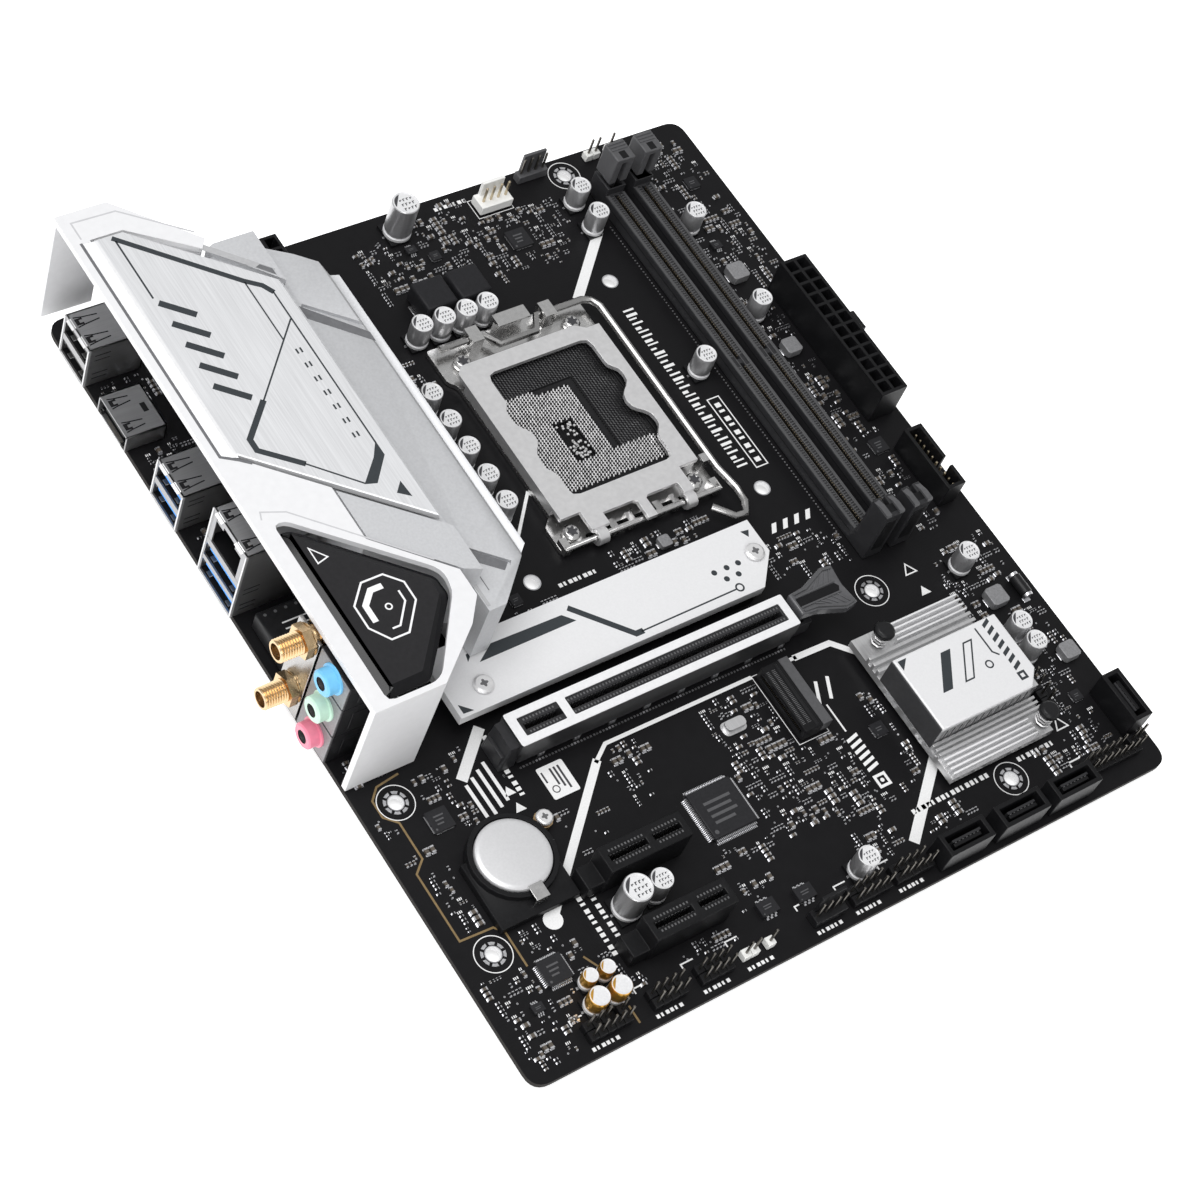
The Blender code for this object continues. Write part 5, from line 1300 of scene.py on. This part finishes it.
def make_chipset():
    recast("chipset_package", EPOXY, 0.1, 1)
    recast("chipset_heatsink", SHELL_BRIGHT, 0.25, 2)
    recast("chipset_cover", PLATE_WHITE, 0.45, 3)
    top = edges("chipset_cover")[5]
    high = top + INK
    ink = Piece("chipset_cover_print", SLATE)
    ink.slab([(153.6, 203.6), (160.6, 193.2), (164.0, 193.2), (157.0, 203.6)], top, high)
    bar = [(161.4, 203.6), (168.4, 193.2), (171.8, 193.2), (164.8, 203.6)]
    ink.slab(bar, top, high, 0, [inset(bar, 0.45)])
    ink.slab(circle(171.4, 201.8, 1.3, 24), top, high, 0, [circle(171.4, 201.8, 0.85, 24)])
    for d in spread(191.0, 2.4, 7):
        ink.slab([(177.2, d), (179.9, d - 1.3), (179.9, d - 0.1), (177.2, d + 1.2)], top, high)
    ink.stroke([(174.6, 191.0), (174.6, 199.0), (176.0, 200.6)], 0.5, top, high)
    ink.slab(rectangle(176.8, 179.4, 207.2, 209.8), top, high, 0, [rectangle(177.5, 178.7, 207.9,
                                                                              209.1)])
    ink.slab([(147.6, 190.4), (150.6, 190.4), (147.6, 193.4)], top, high)
    ink.done(slot="brushed_aluminium")
    # Painted shadow: a dark sheet over the heatsink's left face, and dark lines between the fins on
    # its face at d 212.6.
    shade = Piece("chipset_block_side_shade", ALU_DARK)
    shade.box((146.15, 189.6, 4.7), (146.58, 212.4, 13.7))
    for x in spread(149.0, 2.6, 13):
        shade.box((x, 212.55, 5.0), (x + 0.5, 212.7, 11.6))
    shade.done(bevel=0.1, slot="brushed_aluminium")
    fins = Piece("chipset_fine_fins", RING_WHITE)
    for d in (177.0, 178.6, 180.2, 181.8):
        fins.box((157.2, d, 4.5), (182.4, d + 0.55, 6.7))
    for d in (217.4, 218.9, 220.4, 221.9):
        fins.box((146.4, d, 4.5), (176.6, d + 0.55, 6.7))
    fins.done(bevel=0.12, segments=1, slot="brushed_aluminium")
    for number, (x, d) in enumerate(PUSH_PINS, 1):
        recast(f"push_pin_{number}", BLACK_SATIN, 0.25, 2)
        recast(f"push_pin_spring_{number}", NICKEL, 0.0, 1)


make_battery()
make_chipset()


# Small parts on the board --------------------------------------------------------------------------

TAKEN = set()                            # grid cells of the board already in use
CELL_SIZE = 0.5


def cells(x0, x1, d0, d1):
    return [(i, j) for i in range(math.floor(x0 / CELL_SIZE), math.ceil(x1 / CELL_SIZE))
            for j in range(math.floor(d0 / CELL_SIZE), math.ceil(d1 / CELL_SIZE))]


def take(x0, x1, d0, d1):
    TAKEN.update(cells(x0, x1, d0, d1))


def is_free(x0, x1, d0, d1):
    return not any(cell in TAKEN for cell in cells(x0, x1, d0, d1))


def take_nodes():
    """Takes the cells under every CAD node that stands on the board, and round the holes."""
    skip = {"pcb", "load_lever", "socket_backplate", "io_shroud", "shroud_badge",
            "heatsink_cover_plate", "vrm_heatsink"}
    take(45.4, 66.9, 16.8, 139.4)
    for node in frame["nodes"]:
        if node not in skip:
            x0, x1, d0, d1, _, _ = edges(node)
            take(x0 - 0.5, x1 + 0.5, d0 - 0.5, d1 + 0.5)
    take(142.4, 147.0, 48.0, 131.0)
    for x, d in MOUNT_HOLES:
        take(x - 5.4, x + 5.4, d - 5.4, d + 5.4)
    for x, d in COOLER_HOLES:
        take(x - 4.6, x + 4.6, d - 4.6, d + 4.6)


CAPACITORS = (
    [(105.9, 7.3, 4.0, 13.5), (46.9, 214.0, 4.0, 12.0)]
    + [(x, d, 3.15, 9.0) for x, d in (
        (161.4, 16.8), (161.4, 26.7), (189.5, 37.0), (189.5, 71.5), (161.5, 82.3),
        (193.4, 168.0), (193.4, 192.6), (193.4, 199.5), (108.6, 232.2), (55.4, 213.7))]
    + [(x, 42.9, 3.15, 9.0) for x in (90.6, 98.0, 105.3, 112.2)]
    + [(80.7, d, 3.15, 9.0) for d in (63.9, 73.5, 83.0, 92.7, 102.0)])
GOLD_CAPACITORS = ((26.2, 226.5, 2.1, 5.6), (31.4, 226.5, 2.1, 5.6),
                   (24.6, 232.4, 2.8, 6.8), (31.2, 232.4, 2.8, 6.8))


def capacitor(name, x, d, radius, height, can, slot, printed):
    """A can capacitor: chamfered base, bright foot, crimped waist, rim and perhaps a printed top."""
    piece = Piece(name, can, CAN_TOP, MARK_AND_SHADE_BLACK, BLACK, TIN, CAN_BASE)
    half = radius + 0.05
    base = [(x - half, d - half), (x + half * 0.5, d - half), (x + half, d - half * 0.5),
            (x + half, d + half * 0.5), (x + half * 0.5, d + half), (x - half, d + half)]
    piece.slab(base, 0.12, 0.9, 3)
    for side in (-1, 1):
        piece.box((x + side * (half - 0.8), d - 0.35, 0.02),
                  (x + side * (half + 0.5), d + 0.35, 0.16), 4)
    foot = radius + 0.1
    piece.lathe([(0.0, height - 0.16), (radius * 0.84, height - 0.16), (radius * 0.87, height),
                 (radius * 0.94, height), (radius, height - 0.28), (radius, 2.7),
                 (radius * 0.92, 2.35), (radius * 0.92, 2.05), (foot, 1.75), (foot, 0.9),
                 (0.0, 0.9)], (x, d, 0.0), 0, 40, marks=(1, 1, 1, 0, 0, 0, 0, 5, 5, 0))
    level = height - 0.16
    arc = [(x + radius * 0.82 * math.cos(a), d + radius * 0.82 * math.sin(a))
           for a in spread(math.radians(172), math.radians(7), 14)]
    piece.slab(arc, level, level + 0.04, 2 if printed else 0)
    for row in range(3 if printed else 0):
        for column in range(4):
            px = x + (column - 1.2) * radius * 0.28
            pd = d + (row - 0.7) * radius * 0.40
            long = radius * (0.11 if (row + column) % 3 else 0.07)
            piece.box((px - radius * 0.04, pd - long, level), (px + radius * 0.04, pd + long,
                                                               level + 0.04), 2)
            piece.box((px, pd - long, level), (px + radius * 0.14, pd - long + radius * 0.06,
                                              level + 0.04), 2)
    take(x - half - 0.8, x + half + 0.8, d - half - 0.3, d + half + 0.3)
    piece.done(bevel=0.06, segments=1, slot=slot)


def make_capacitors():
    for number, (x, d, radius, height) in enumerate(CAPACITORS, 1):
        capacitor(f"capacitor_{number:02d}", x, d, radius, height, CAN, "cell_steel", True)
    for number, (x, d, radius, height) in enumerate(GOLD_CAPACITORS, 1):
        capacitor(f"audio_capacitor_{number}", x, d, radius, height, GOLD_CAN, "gold_plate", False)


def leads(piece, x, d, half_x, half_d, pitch, index, sides="NSEW", reach=0.9, height=0.8):
    """Gull wing leads round a chip: a foot on the board and a slope up to the body."""
    width = pitch * 0.26
    for side in sides:
        across = half_x if side in "NS" else half_d
        count = int((2 * across - 1.0) / pitch)
        for number in range(count):
            run = (number - (count - 1) / 2) * pitch
            sign = -1 if side in "NW" else 1
            edge = sign * (half_d if side in "NS" else half_x)
            foot = sorted((edge + sign * reach * 0.45, edge + sign * reach))
            knee = sorted((edge - sign * 0.1, edge + sign * reach * 0.5))
            for (a, b), (low, high) in ((foot, (0.02, 0.18)), (knee, (0.1, height))):
                if side in "NS":
                    piece.box((x + run - width, d + a, low), (x + run + width, d + b, high), index)
                else:
                    piece.box((x + a, d + run - width, low), (x + b, d + run + width, high), index)


def chip(name, x, d, half_x, half_d, height, pitch=0.0, sides="NSEW"):
    """A moulded chip with a dimple, a few faint bars and its leads or pads."""
    piece = Piece(name, EPOXY, TIN, LATCH_GREY)
    piece.box((x - half_x, d - half_d, 0.1), (x + half_x, d + half_d, height), 0)
    piece.slab(circle(x - half_x * 0.74, d + half_d * 0.74, min(half_x, half_d) * 0.1, 14), height,
               height + 0.015, 2)
    rows = 3 if half_d > 2.2 else 2
    for row in range(rows):
        y = d + (row - (rows - 1) / 2) * half_d * 0.36
        piece.box((x - half_x * 0.45, y - half_d * 0.07, height),
                  (x + half_x * (0.5 - 0.16 * row), y + half_d * 0.07, height + 0.012), 2)
    if pitch:
        leads(piece, x, d, half_x, half_d, pitch, 1, sides, 0.9, height * 0.6)
    else:
        piece.box((x - half_x - 0.18, d - half_d * 0.86, 0.0),
                  (x + half_x + 0.18, d + half_d * 0.86, 0.12), 1)
        piece.box((x - half_x * 0.86, d - half_d - 0.18, 0.0),
                  (x + half_x * 0.86, d + half_d + 0.18, 0.12), 1)
    take(x - half_x - 1.2, x + half_x + 1.2, d - half_d - 1.2, d + half_d + 1.2)
    piece.done(bevel=0.07, segments=1, slot="chip_epoxy")


def power_coil(name, x, d, half, height):
    """A pressed coil: a chamfered block on two tin pads."""
    piece = Piece(name, COIL_GREY, TIN)
    cut = half * 0.22
    outline = [(x - half, d - half + cut), (x - half + cut, d - half), (x + half - cut, d - half),
               (x + half, d - half + cut), (x + half, d + half - cut), (x + half - cut, d + half),
               (x - half + cut, d + half), (x - half, d + half - cut)]
    piece.slab(outline, 0.3, height, 0)
    for side in (-1, 1):
        piece.box((x + side * half * 0.6, d - half * 0.5, 0.0),
                  (x + side * (half + 0.45), d + half * 0.5, 0.34), 1)
    take(x - half - 0.8, x + half + 0.8, d - half - 0.8, d + half + 0.8)
    piece.done(bevel=0.3, slot="choke_ferrite")


def make_chips():
    recast("monitor_chip", EPOXY, 0.14, 2)
    x0, x1, d0, d1, _, z1 = edges("monitor_chip")
    x, d = (x0 + x1) / 2, (d0 + d1) / 2
    detail = Piece("monitor_chip_leads", TIN, LATCH_GREY)
    leads(detail, x, d, (x1 - x0) / 2, (d1 - d0) / 2, 0.5, 0, "NSEW", 1.3, 1.0)
    detail.slab(circle(x0 + 1.6, d1 - 1.6, 0.6, 18), z1, z1 + 0.015, 1)
    for row, reach in enumerate((4.2, 3.4, 4.0, 2.2)):
        detail.box((x - 4.2, d - 3.0 + row * 1.9, z1), (x + reach, d - 2.2 + row * 1.9, z1 + 0.015),
                   1)
    take(x0 - 2.0, x1 + 2.0, d0 - 2.0, d1 + 2.0)
    detail.done(slot="chip_epoxy")
    for number in (1, 2):
        recast(f"input_choke_{number}", FERRITE, 0.6, 3)
        x0, x1, d0, d1, _, _ = edges(f"input_choke_{number}")
        d = (d0 + d1) / 2
        pads = Piece(f"input_choke_pads_{number}", TIN)
        pads.box((x0 - 0.7, d - 2.2, 0.0), (x0 + 1.2, d + 2.2, 0.28))
        pads.box((x1 - 1.2, d - 2.2, 0.0), (x1 + 0.7, d + 2.2, 0.28))
        pads.done(bevel=0.08, segments=1, slot="zinc_steel")
    chip("audio_chip", 21.0, 220.0, 3.5, 3.5, 1.4, 0.5)
    chip("network_chip", 17.4, 172.8, 3.0, 3.0, 0.9)
    chip("power_chip_1", 138.6, 22.0, 3.2, 3.2, 0.9)
    chip("power_chip_2", 200.8, 22.8, 2.0, 2.0, 0.8)
    chip("power_chip_3", 197.0, 124.6, 2.4, 2.4, 0.8)
    chip("firmware_chip_1", 91.4, 231.0, 2.7, 2.0, 1.5, 1.27, "NS")
    chip("firmware_chip_2", 80.0, 230.0, 2.7, 2.0, 1.5, 1.27, "NS")
    chip("switch_chip_1", 106.4, 14.4, 1.6, 1.2, 1.0, 0.65, "NS")
    chip("switch_chip_2", 120.4, 178.0, 1.7, 1.3, 1.0)
    chip("switch_chip_3", 199.0, 216.0, 1.6, 1.6, 0.8)
    chip("switch_chip_4", 12.0, 226.6, 1.6, 1.2, 1.0, 0.65, "NS")
    chip("clock_chip", 139.6, 200.4, 2.0, 2.0, 0.8)
    chip("driver_chip_1", 112.0, 18.6, 1.5, 1.5, 0.8)
    chip("driver_chip_2", 70.4, 126.0, 1.6, 1.6, 0.8)
    chip("driver_chip_3", 194.0, 45.6, 1.6, 1.3, 0.9, 0.65, "NS")
    for number, (x, d, half, height) in enumerate((
            (193.0, 57.2, 2.9, 3.0), (196.6, 181.0, 2.9, 3.0), (205.4, 204.0, 2.6, 2.8),
            (118.4, 127.2, 1.8, 2.0), (192.4, 86.0, 2.6, 2.8)), 1):
        power_coil(f"power_coil_{number}", x, d, half, height)
    axial = Piece("axial_part", BLACK_SATIN, TIN)
    axial.rod((205.8, 181.0, 1.95), 1.7, 6.0, "Y", 0)
    for side in (-1, 1):
        axial.rod((205.8, 181.0 + side * 3.5, 1.75), 1.5, 1.0, "Y", 1)
        axial.box((204.6, 181.0 + side * 3.0, 0.0), (207.0, 181.0 + side * 4.6, 0.3), 1)
    axial.done(bevel=0.12, slot="chip_epoxy")
    take(203.2, 208.4, 175.6, 186.4)
    crystal = Piece("crystal_can", SHELL_BRIGHT, CAN_BASE)
    crystal.slab(rounded(rectangle(100.0, 106.2, 181.2, 184.2), 1.45, 6), 0.2, 2.2, 0)
    crystal.slab(rounded(rectangle(99.4, 106.8, 180.6, 184.8), 1.8, 6), 0.05, 0.4, 0)
    take(98.8, 107.4, 180.0, 185.4)
    crystal.done(bevel=0.15, slot="zinc_steel")


# Printed marks on the board ----------------------------------------------------------------------

STRIPES = (
    (3.0, (163.0, 28.0), (143.0, 47.0)), (0.9, (75.0, 117.0), (92.5, 98.0), (97.0, 104.0)),
    (3.0, (41.0, 154.4), (28.6, 165.6)), (2.3, (28.0, 209.0), (42.7, 195.2), (64.0, 175.4)),
    (1.1, (63.2, 176.0), (68.6, 172.3), (116.6, 172.3)), (1.1, (128.0, 172.3), (132.0, 172.3)),
    (1.8, (131.0, 172.3), (143.4, 172.6), (150.0, 179.4)), (3.0, (149.0, 214.0), (128.0, 232.0)),
    (0.5, (131.0, 188.0), (131.0, 197.0)), (0.4, (179.5, 160.6), (181.4, 163.8), (177.6, 163.8),
                                            (179.5, 160.6)),
    (0.4, (189.0, 218.6), (191.0, 222.4), (187.0, 222.4), (189.0, 218.6)),
    (0.35, (158.5, 91.5), (162.5, 91.5), (162.5, 116.5), (158.5, 116.5), (158.5, 91.5)),
    (1.0, (129.4, 187.0), (132.4, 180.8)), (1.0, (133.4, 187.0), (136.4, 180.8)))
ISOLATION = (
    ((15.0, 157.0), (8.0, 158.0), (5.0, 161.0), (5.0, 166.0), (8.0, 169.0), (8.0, 180.0),
     (4.5, 183.0), (4.5, 203.0), (14.0, 203.5), (16.0, 206.0), (16.0, 216.0)),
    ((30.0, 220.0), (32.0, 224.0)), ((33.0, 236.0), (33.0, 241.0)))


def take_line(path, width):
    """Takes the cells under a line, so that no small part lands on it."""
    for (x0, d0), (x1, d1) in zip(path, path[1:]):
        steps = int(math.hypot(x1 - x0, d1 - d0)) + 1
        for i in range(steps + 1):
            x, d = x0 + (x1 - x0) * i / steps, d0 + (d1 - d0) * i / steps
            take(x - width / 2, x + width / 2, d - width / 2, d + width / 2)


def bars(piece, x0, x1, starts, lengths, across=False):
    """A row of plain bars of mixed length where a board has printing."""
    for number, start in enumerate(starts):
        length = lengths[number % len(lengths)]
        if across:
            piece.box((start, x0, 0.0), (start + length, x1, INK))
        else:
            piece.box((x0, start, 0.0), (x1, start + length, INK))


def make_print():
    art = Piece("board_print", PRINT)
    label = Piece("label_print", MARK_AND_SHADE_BLACK)
    for width, *path in STRIPES:
        art.stroke(path, width, 0.0, INK)
        take_line(path, width + 0.6)
    art.slab(circle(28.6, 208.4, 2.6, 20), 0.0, INK * 1.2)
    take(25.6, 31.6, 205.4, 211.4)
    for number, d in enumerate(spread(55.5, 1.62, 37)):
        reach = (3.6, 3.6, 2.6, 3.6, 1.9)[number % 5]
        art.box((153.2, d, 0.0), (153.2 + reach, d + (0.62, 0.95, 0.5)[number % 3], INK))
    bars(art, 159.6, 161.4, spread(93.4, 2.5, 9), (1.5, 0.8))
    for number in range(4):
        x = 149.4 + number * 4.0
        art.slab([(x, 136.8), (x + 1.8, 134.0), (x + 3.4, 134.0), (x + 1.6, 136.8)], 0.0, INK)
    for number, x in enumerate((28.9, 31.4, 33.9, 36.3)):
        art.stroke([(x, 167.2 - number * 1.3), (x + 0.2, 178.4 - number)], 1.0, 0.0, INK)
    take(28.0, 37.4, 162.4, 178.6)
    for d in spread(198.4, 1.9, 6):
        art.slab([(129.4, d + 0.9), (129.4, d + 1.9), (133.4, d + 1.0), (133.4, d)], 0.0, INK)
    art.slab(rectangle(129.4, 133.4, 211.2, 215.2), 0.0, INK, 0,
             [rectangle(130.2, 132.6, 212.0, 214.4)])
    art.slab(circle(131.4, 213.2, 0.6, 12), 0.0, INK)
    art.slab([(179.5, 168.4), (181.2, 171.2), (177.8, 171.2)], 0.0, INK)
    for d in (173.0, 178.0):
        art.slab([(38.0, d - 1.2), (39.6, d + 1.4), (36.4, d + 1.4)], 0.0, INK)
    art.slab(rounded(rectangle(47.5, 55.5, 171.0, 180.6), 0.6, 3), 0.0, INK)
    for row in range(3):
        label.box((53.2 - row * 1.2, 172.2, INK), (53.8 - row * 1.2, 179.2 - row, INK * 2))
    label.slab(circle(49.6, 178.0, 1.1, 20), INK, INK * 2, 0, [circle(49.6, 178.0, 0.8, 20)])
    label.stroke([(48.4, 172.4), (48.4, 175.6)], 0.5, INK, INK * 2)
    label.done(slot="white_plastic")
    take(47.0, 56.0, 170.6, 181.0)
    take(129.0, 140.0, 180.0, 216.0)
    for row, across, starts in (((224.0, 225.4), True, spread(133.0, 1.7, 16)),
                                ((224.0, 225.4), True, spread(170.4, 1.7, 8)),
                                ((40.0, 41.4), False, spread(157.0, 1.8, 11)),
                                ((37.0, 38.4), False, spread(200.6, 1.8, 13)),
                                ((40.4, 41.8), False, spread(200.6, 1.8, 13)),
                                ((3.2, 4.4), True, spread(121.0, 1.6, 7)),
                                ((126.2, 127.4), True, spread(84.0, 1.6, 8)),
                                ((56.0, 57.2), False, spread(50.0, 1.6, 1))):
        bars(art, *row, starts, (1.1, 0.7, 1.2), across)
    for x in (18.4, 37.6, 52.2, 66.0, 88.4, 101.2, 115.6):
        bars(art, 241.2, 242.2, spread(x, 1.4, 6), (0.9, 0.6, 1.0), True)
        art.stroke([(x - 1.2, 234.2), (x - 1.2, 232.8), (x + 2.6, 232.8)], 0.4, 0.0, INK)
    for x, d, way in ((183.4, 231.8, 1), (208.8, 231.8, -1)):
        art.stroke([(x, d + 3.0), (x, d), (x + way * 4.0, d)], 0.5, 0.0, INK)
    for node in ("cpu_fan_header", "m2_slot_lower"):
        x0, x1, d0, d1, _, _ = edges(node)
        art.stroke([(x0 - 0.7, d0 - 0.7), (x1 + 0.5, d0 - 0.7), (x1 + 0.5, d1 + 0.7),
                    (x0 - 0.7, d1 + 0.7), (x0 - 0.7, d0 - 0.7)], 0.2, 0.0, INK)
    art.done(slot="white_plastic")
    line = Piece("isolation_line", GOLD_LINE)
    for path in ISOLATION:
        line.stroke(path, 0.55, 0.0, INK * 0.8)
        take_line(path, 1.2)
    line.done(slot="gold_plate")


# x from, x to, d from, d to, share filled
CLUSTERS = (
    (104, 132, 3, 10, 0.4), (90, 128, 9, 26, 0.5), (126, 150, 11, 32, 0.55),
    (142, 158, 6, 27, 0.4), (187, 206, 6, 24, 0.5), (188, 208, 30, 60, 0.42),
    (187, 198, 64, 84, 0.4), (187, 197, 90, 118, 0.4), (187, 200, 118, 128, 0.5),
    (142, 166, 139, 150, 0.4), (100, 131, 122, 130, 0.5), (64, 78, 120, 131, 0.45),
    (28, 40, 156, 170, 0.4), (13, 30, 160, 182, 0.55), (2, 7, 160, 184, 0.35),
    (5, 15, 184, 204, 0.35), (15, 28, 205, 219, 0.5), (3, 16, 214, 240, 0.45),
    (14, 42, 221, 234, 0.45), (64, 76, 174, 190, 0.4), (96, 108, 172, 194, 0.6),
    (92, 112, 190, 214, 0.6), (74, 92, 209, 216, 0.45), (112, 130, 196, 220, 0.5),
    (109, 117, 172, 196, 0.5), (134, 150, 187, 218, 0.55), (188, 208, 160, 178, 0.5),
    (186, 192, 166, 196, 0.4), (196, 209, 184, 200, 0.4), (187, 202, 203, 222, 0.5),
    (176, 200, 224, 232, 0.55), (112, 126, 222, 234, 0.5), (132, 148, 226, 234, 0.3),
    (70, 84, 221, 228, 0.4), (44, 70, 229, 234, 0.4), (68, 86, 46, 60, 0.3),
    (187, 198, 132, 154, 0.3), (40, 56, 184, 198, 0.15), (3, 20, 24, 29, 0.5),
    (4, 20, 46, 57, 0.45), (4, 20, 73, 83, 0.45), (20, 40, 20, 60, 0.25),
    (21, 40, 60, 140, 0.25), (2, 12, 148, 156, 0.4))


def make_small_parts():
    source = random.Random(29)
    parts = Piece("surface_parts", CERAMIC, TIN, PARTS_DARK, CAN_BASE)
    marks = Piece("reference_marks", PRINT)
    vias = Piece("via_rings", TIN)
    take_nodes()
    take_headers()
    sizes = ((1.0, 0.5), (1.0, 0.5), (1.6, 0.8), (1.0, 0.5), (0.6, 0.34), (1.9, 1.1))
    for x0, x1, d0, d1, share in CLUSTERS:
        for _ in range(int((x1 - x0) * (d1 - d0) * share * 0.38)):
            length, width = source.choice(sizes)
            upright = source.random() < 0.5
            run = source.choice((1, 1, 2, 3, 4, 5))
            pitch = width + 0.55
            x = round(source.uniform(x0, x1) * 2) / 2
            d = round(source.uniform(d0, d1) * 2) / 2
            kind = source.choice((0, 2, 2, 2)) if length < 1.6 else 0
            for number in range(run):
                px = x + (number * pitch if upright else 0.0)
                pd = d + (0.0 if upright else number * pitch)
                reach_x = width / 2 if upright else length / 2
                reach_d = length / 2 if upright else width / 2
                spot = (px - reach_x - 0.1, px + reach_x + 0.1, pd - reach_d - 0.1,
                        pd + reach_d + 0.1)
                if spot[0] < 2 or spot[1] > WIDTH - 2 or spot[2] < 2 or spot[3] > DEPTH - 2:
                    continue
                if not is_free(*spot):
                    continue
                take(*spot)
                small_part(parts, px, pd, 0.0, length, width, kind, turn=90 if upright else 0)
                if number == 0:
                    mark(marks, source, px - reach_x, pd - reach_d)
        for _ in range(int((x1 - x0) * (d1 - d0) * 0.05)):
            x, d = source.uniform(x0, x1), source.uniform(d0, d1)
            if is_free(x - 0.3, x + 0.3, d - 0.3, d + 0.3):
                vias.slab(circle(x, d, 0.26, 10), 0.0, 0.02, 0, [circle(x, d, 0.12, 8)])
    for d in spread(28.0, 1.1, 108):
        vias.slab(circle(167.4, d, 0.27, 8), 0.0, 0.04)
    parts.done(slot="chip_epoxy", angle=40.0)
    marks.done(slot="white_plastic")
    vias.done(slot="zinc_steel")


def mark(piece, source, x, d):
    """Tiny plain bars beside a small part."""
    if source.random() > 0.4:
        return
    bars_here = source.choice((2, 3, 3, 4))
    if not is_free(x, x + bars_here * 0.5, d - 1.3, d - 0.4):
        return
    take(x, x + bars_here * 0.5, d - 1.3, d - 0.4)
    for number in range(bars_here):
        piece.box((x + number * 0.52, d - 1.2, 0.0),
                  (x + number * 0.52 + source.choice((0.22, 0.3)), d - 0.5, INK))


def take_headers():
    for x0, x1, d0, d1 in ((132, 160, 1, 11), (173, 185, 1, 5), (18, 128, 234.6, 241),
                           (184, 208, 232.6, 239), (186, 190.5, 205, 216.4)):
        take(x0 - 0.4, x1 + 0.4, d0 - 0.4, d1 + 0.4)


make_capacitors()
make_chips()
make_print()
make_small_parts()


# Stage -----------------------------------------------------------------------------------------------

FLOOR_SIZE = 40.0
FLOOR_DROP = 0.0002                      # how far the floor lies under the part
# The camera: lens and sensor in millimetres, its axes in the frame, its place over the board
LENS, SENSOR = 84.75, 36.0
CAMERA_RIGHT = Vector((0.801728, -0.536745, 0.262939))
CAMERA_UP = Vector((0.337564, 0.769677, 0.541893))
CAMERA_FORWARD = Vector((0.493236, 0.345692, -0.798258))
CAMERA_PLACE = (-274.858, -392.118, 593.646)


def soft_light(name, place, aim, size, power):
    data = bpy.data.lights.new(name, "AREA")
    data.shape = "DISK"
    data.size = size
    data.energy = power
    lamp = bpy.data.objects.new(name, data)
    lamp.location = place
    lamp.rotation_euler = (Vector(aim) - Vector(place)).to_track_quat("-Z", "Y").to_euler()
    bpy.context.scene.collection.objects.link(lamp)


def make_stage():
    bm = bmesh.new()
    bmesh.ops.create_grid(bm, x_segments=1, y_segments=1, size=FLOOR_SIZE)
    mesh = bpy.data.meshes.new("floor")
    bm.to_mesh(mesh)
    bm.free()
    pale = finish("pale_floor", (0.93, 0.93, 0.93), 0.85, vary=0.004, grain=40.0, bump=0.02)
    glow = pale.node_tree.nodes["Principled BSDF"].inputs
    glow["Emission Color"].default_value = (1.0, 1.0, 1.0, 1.0)
    glow["Emission Strength"].default_value = 0.6
    mesh.materials.append(pale)
    floor = bpy.data.objects.new("floor", mesh)
    floor.location.z = -FLOOR_DROP
    bpy.context.scene.collection.objects.link(floor)
    world = bpy.data.worlds.new("pale_room")
    world.use_nodes = True
    world.node_tree.nodes["Background"].inputs["Color"].default_value = (0.95, 0.955, 0.96, 1.0)
    world.node_tree.nodes["Background"].inputs["Strength"].default_value = 0.55
    bpy.context.scene.world = world
    soft_light("overhead", (-0.5, 0.1, 1.25), (0.0, 0.0, 0.0), 1.1, 13.0)
    soft_light("fill", (-0.75, -1.05, 0.75), (0.0, 0.0, 0.0), 0.8, 5.0)


def make_camera():
    data = bpy.data.cameras.new("view")
    data.lens = LENS
    data.sensor_width = SENSOR
    camera = bpy.data.objects.new("view", data)
    right, up, back = CAMERA_RIGHT, CAMERA_UP, -CAMERA_FORWARD
    place = TO_ROW @ Vector(CAMERA_PLACE)
    camera.matrix_world = Matrix((
        (right.x, up.x, back.x, place.x), (right.y, up.y, back.y, place.y),
        (right.z, up.z, back.z, place.z), (0.0, 0.0, 0.0, 1.0)))
    bpy.context.scene.collection.objects.link(camera)
    bpy.context.scene.camera = camera


make_stage()
make_camera()
bpy.context.scene.view_settings.view_transform = "Standard"
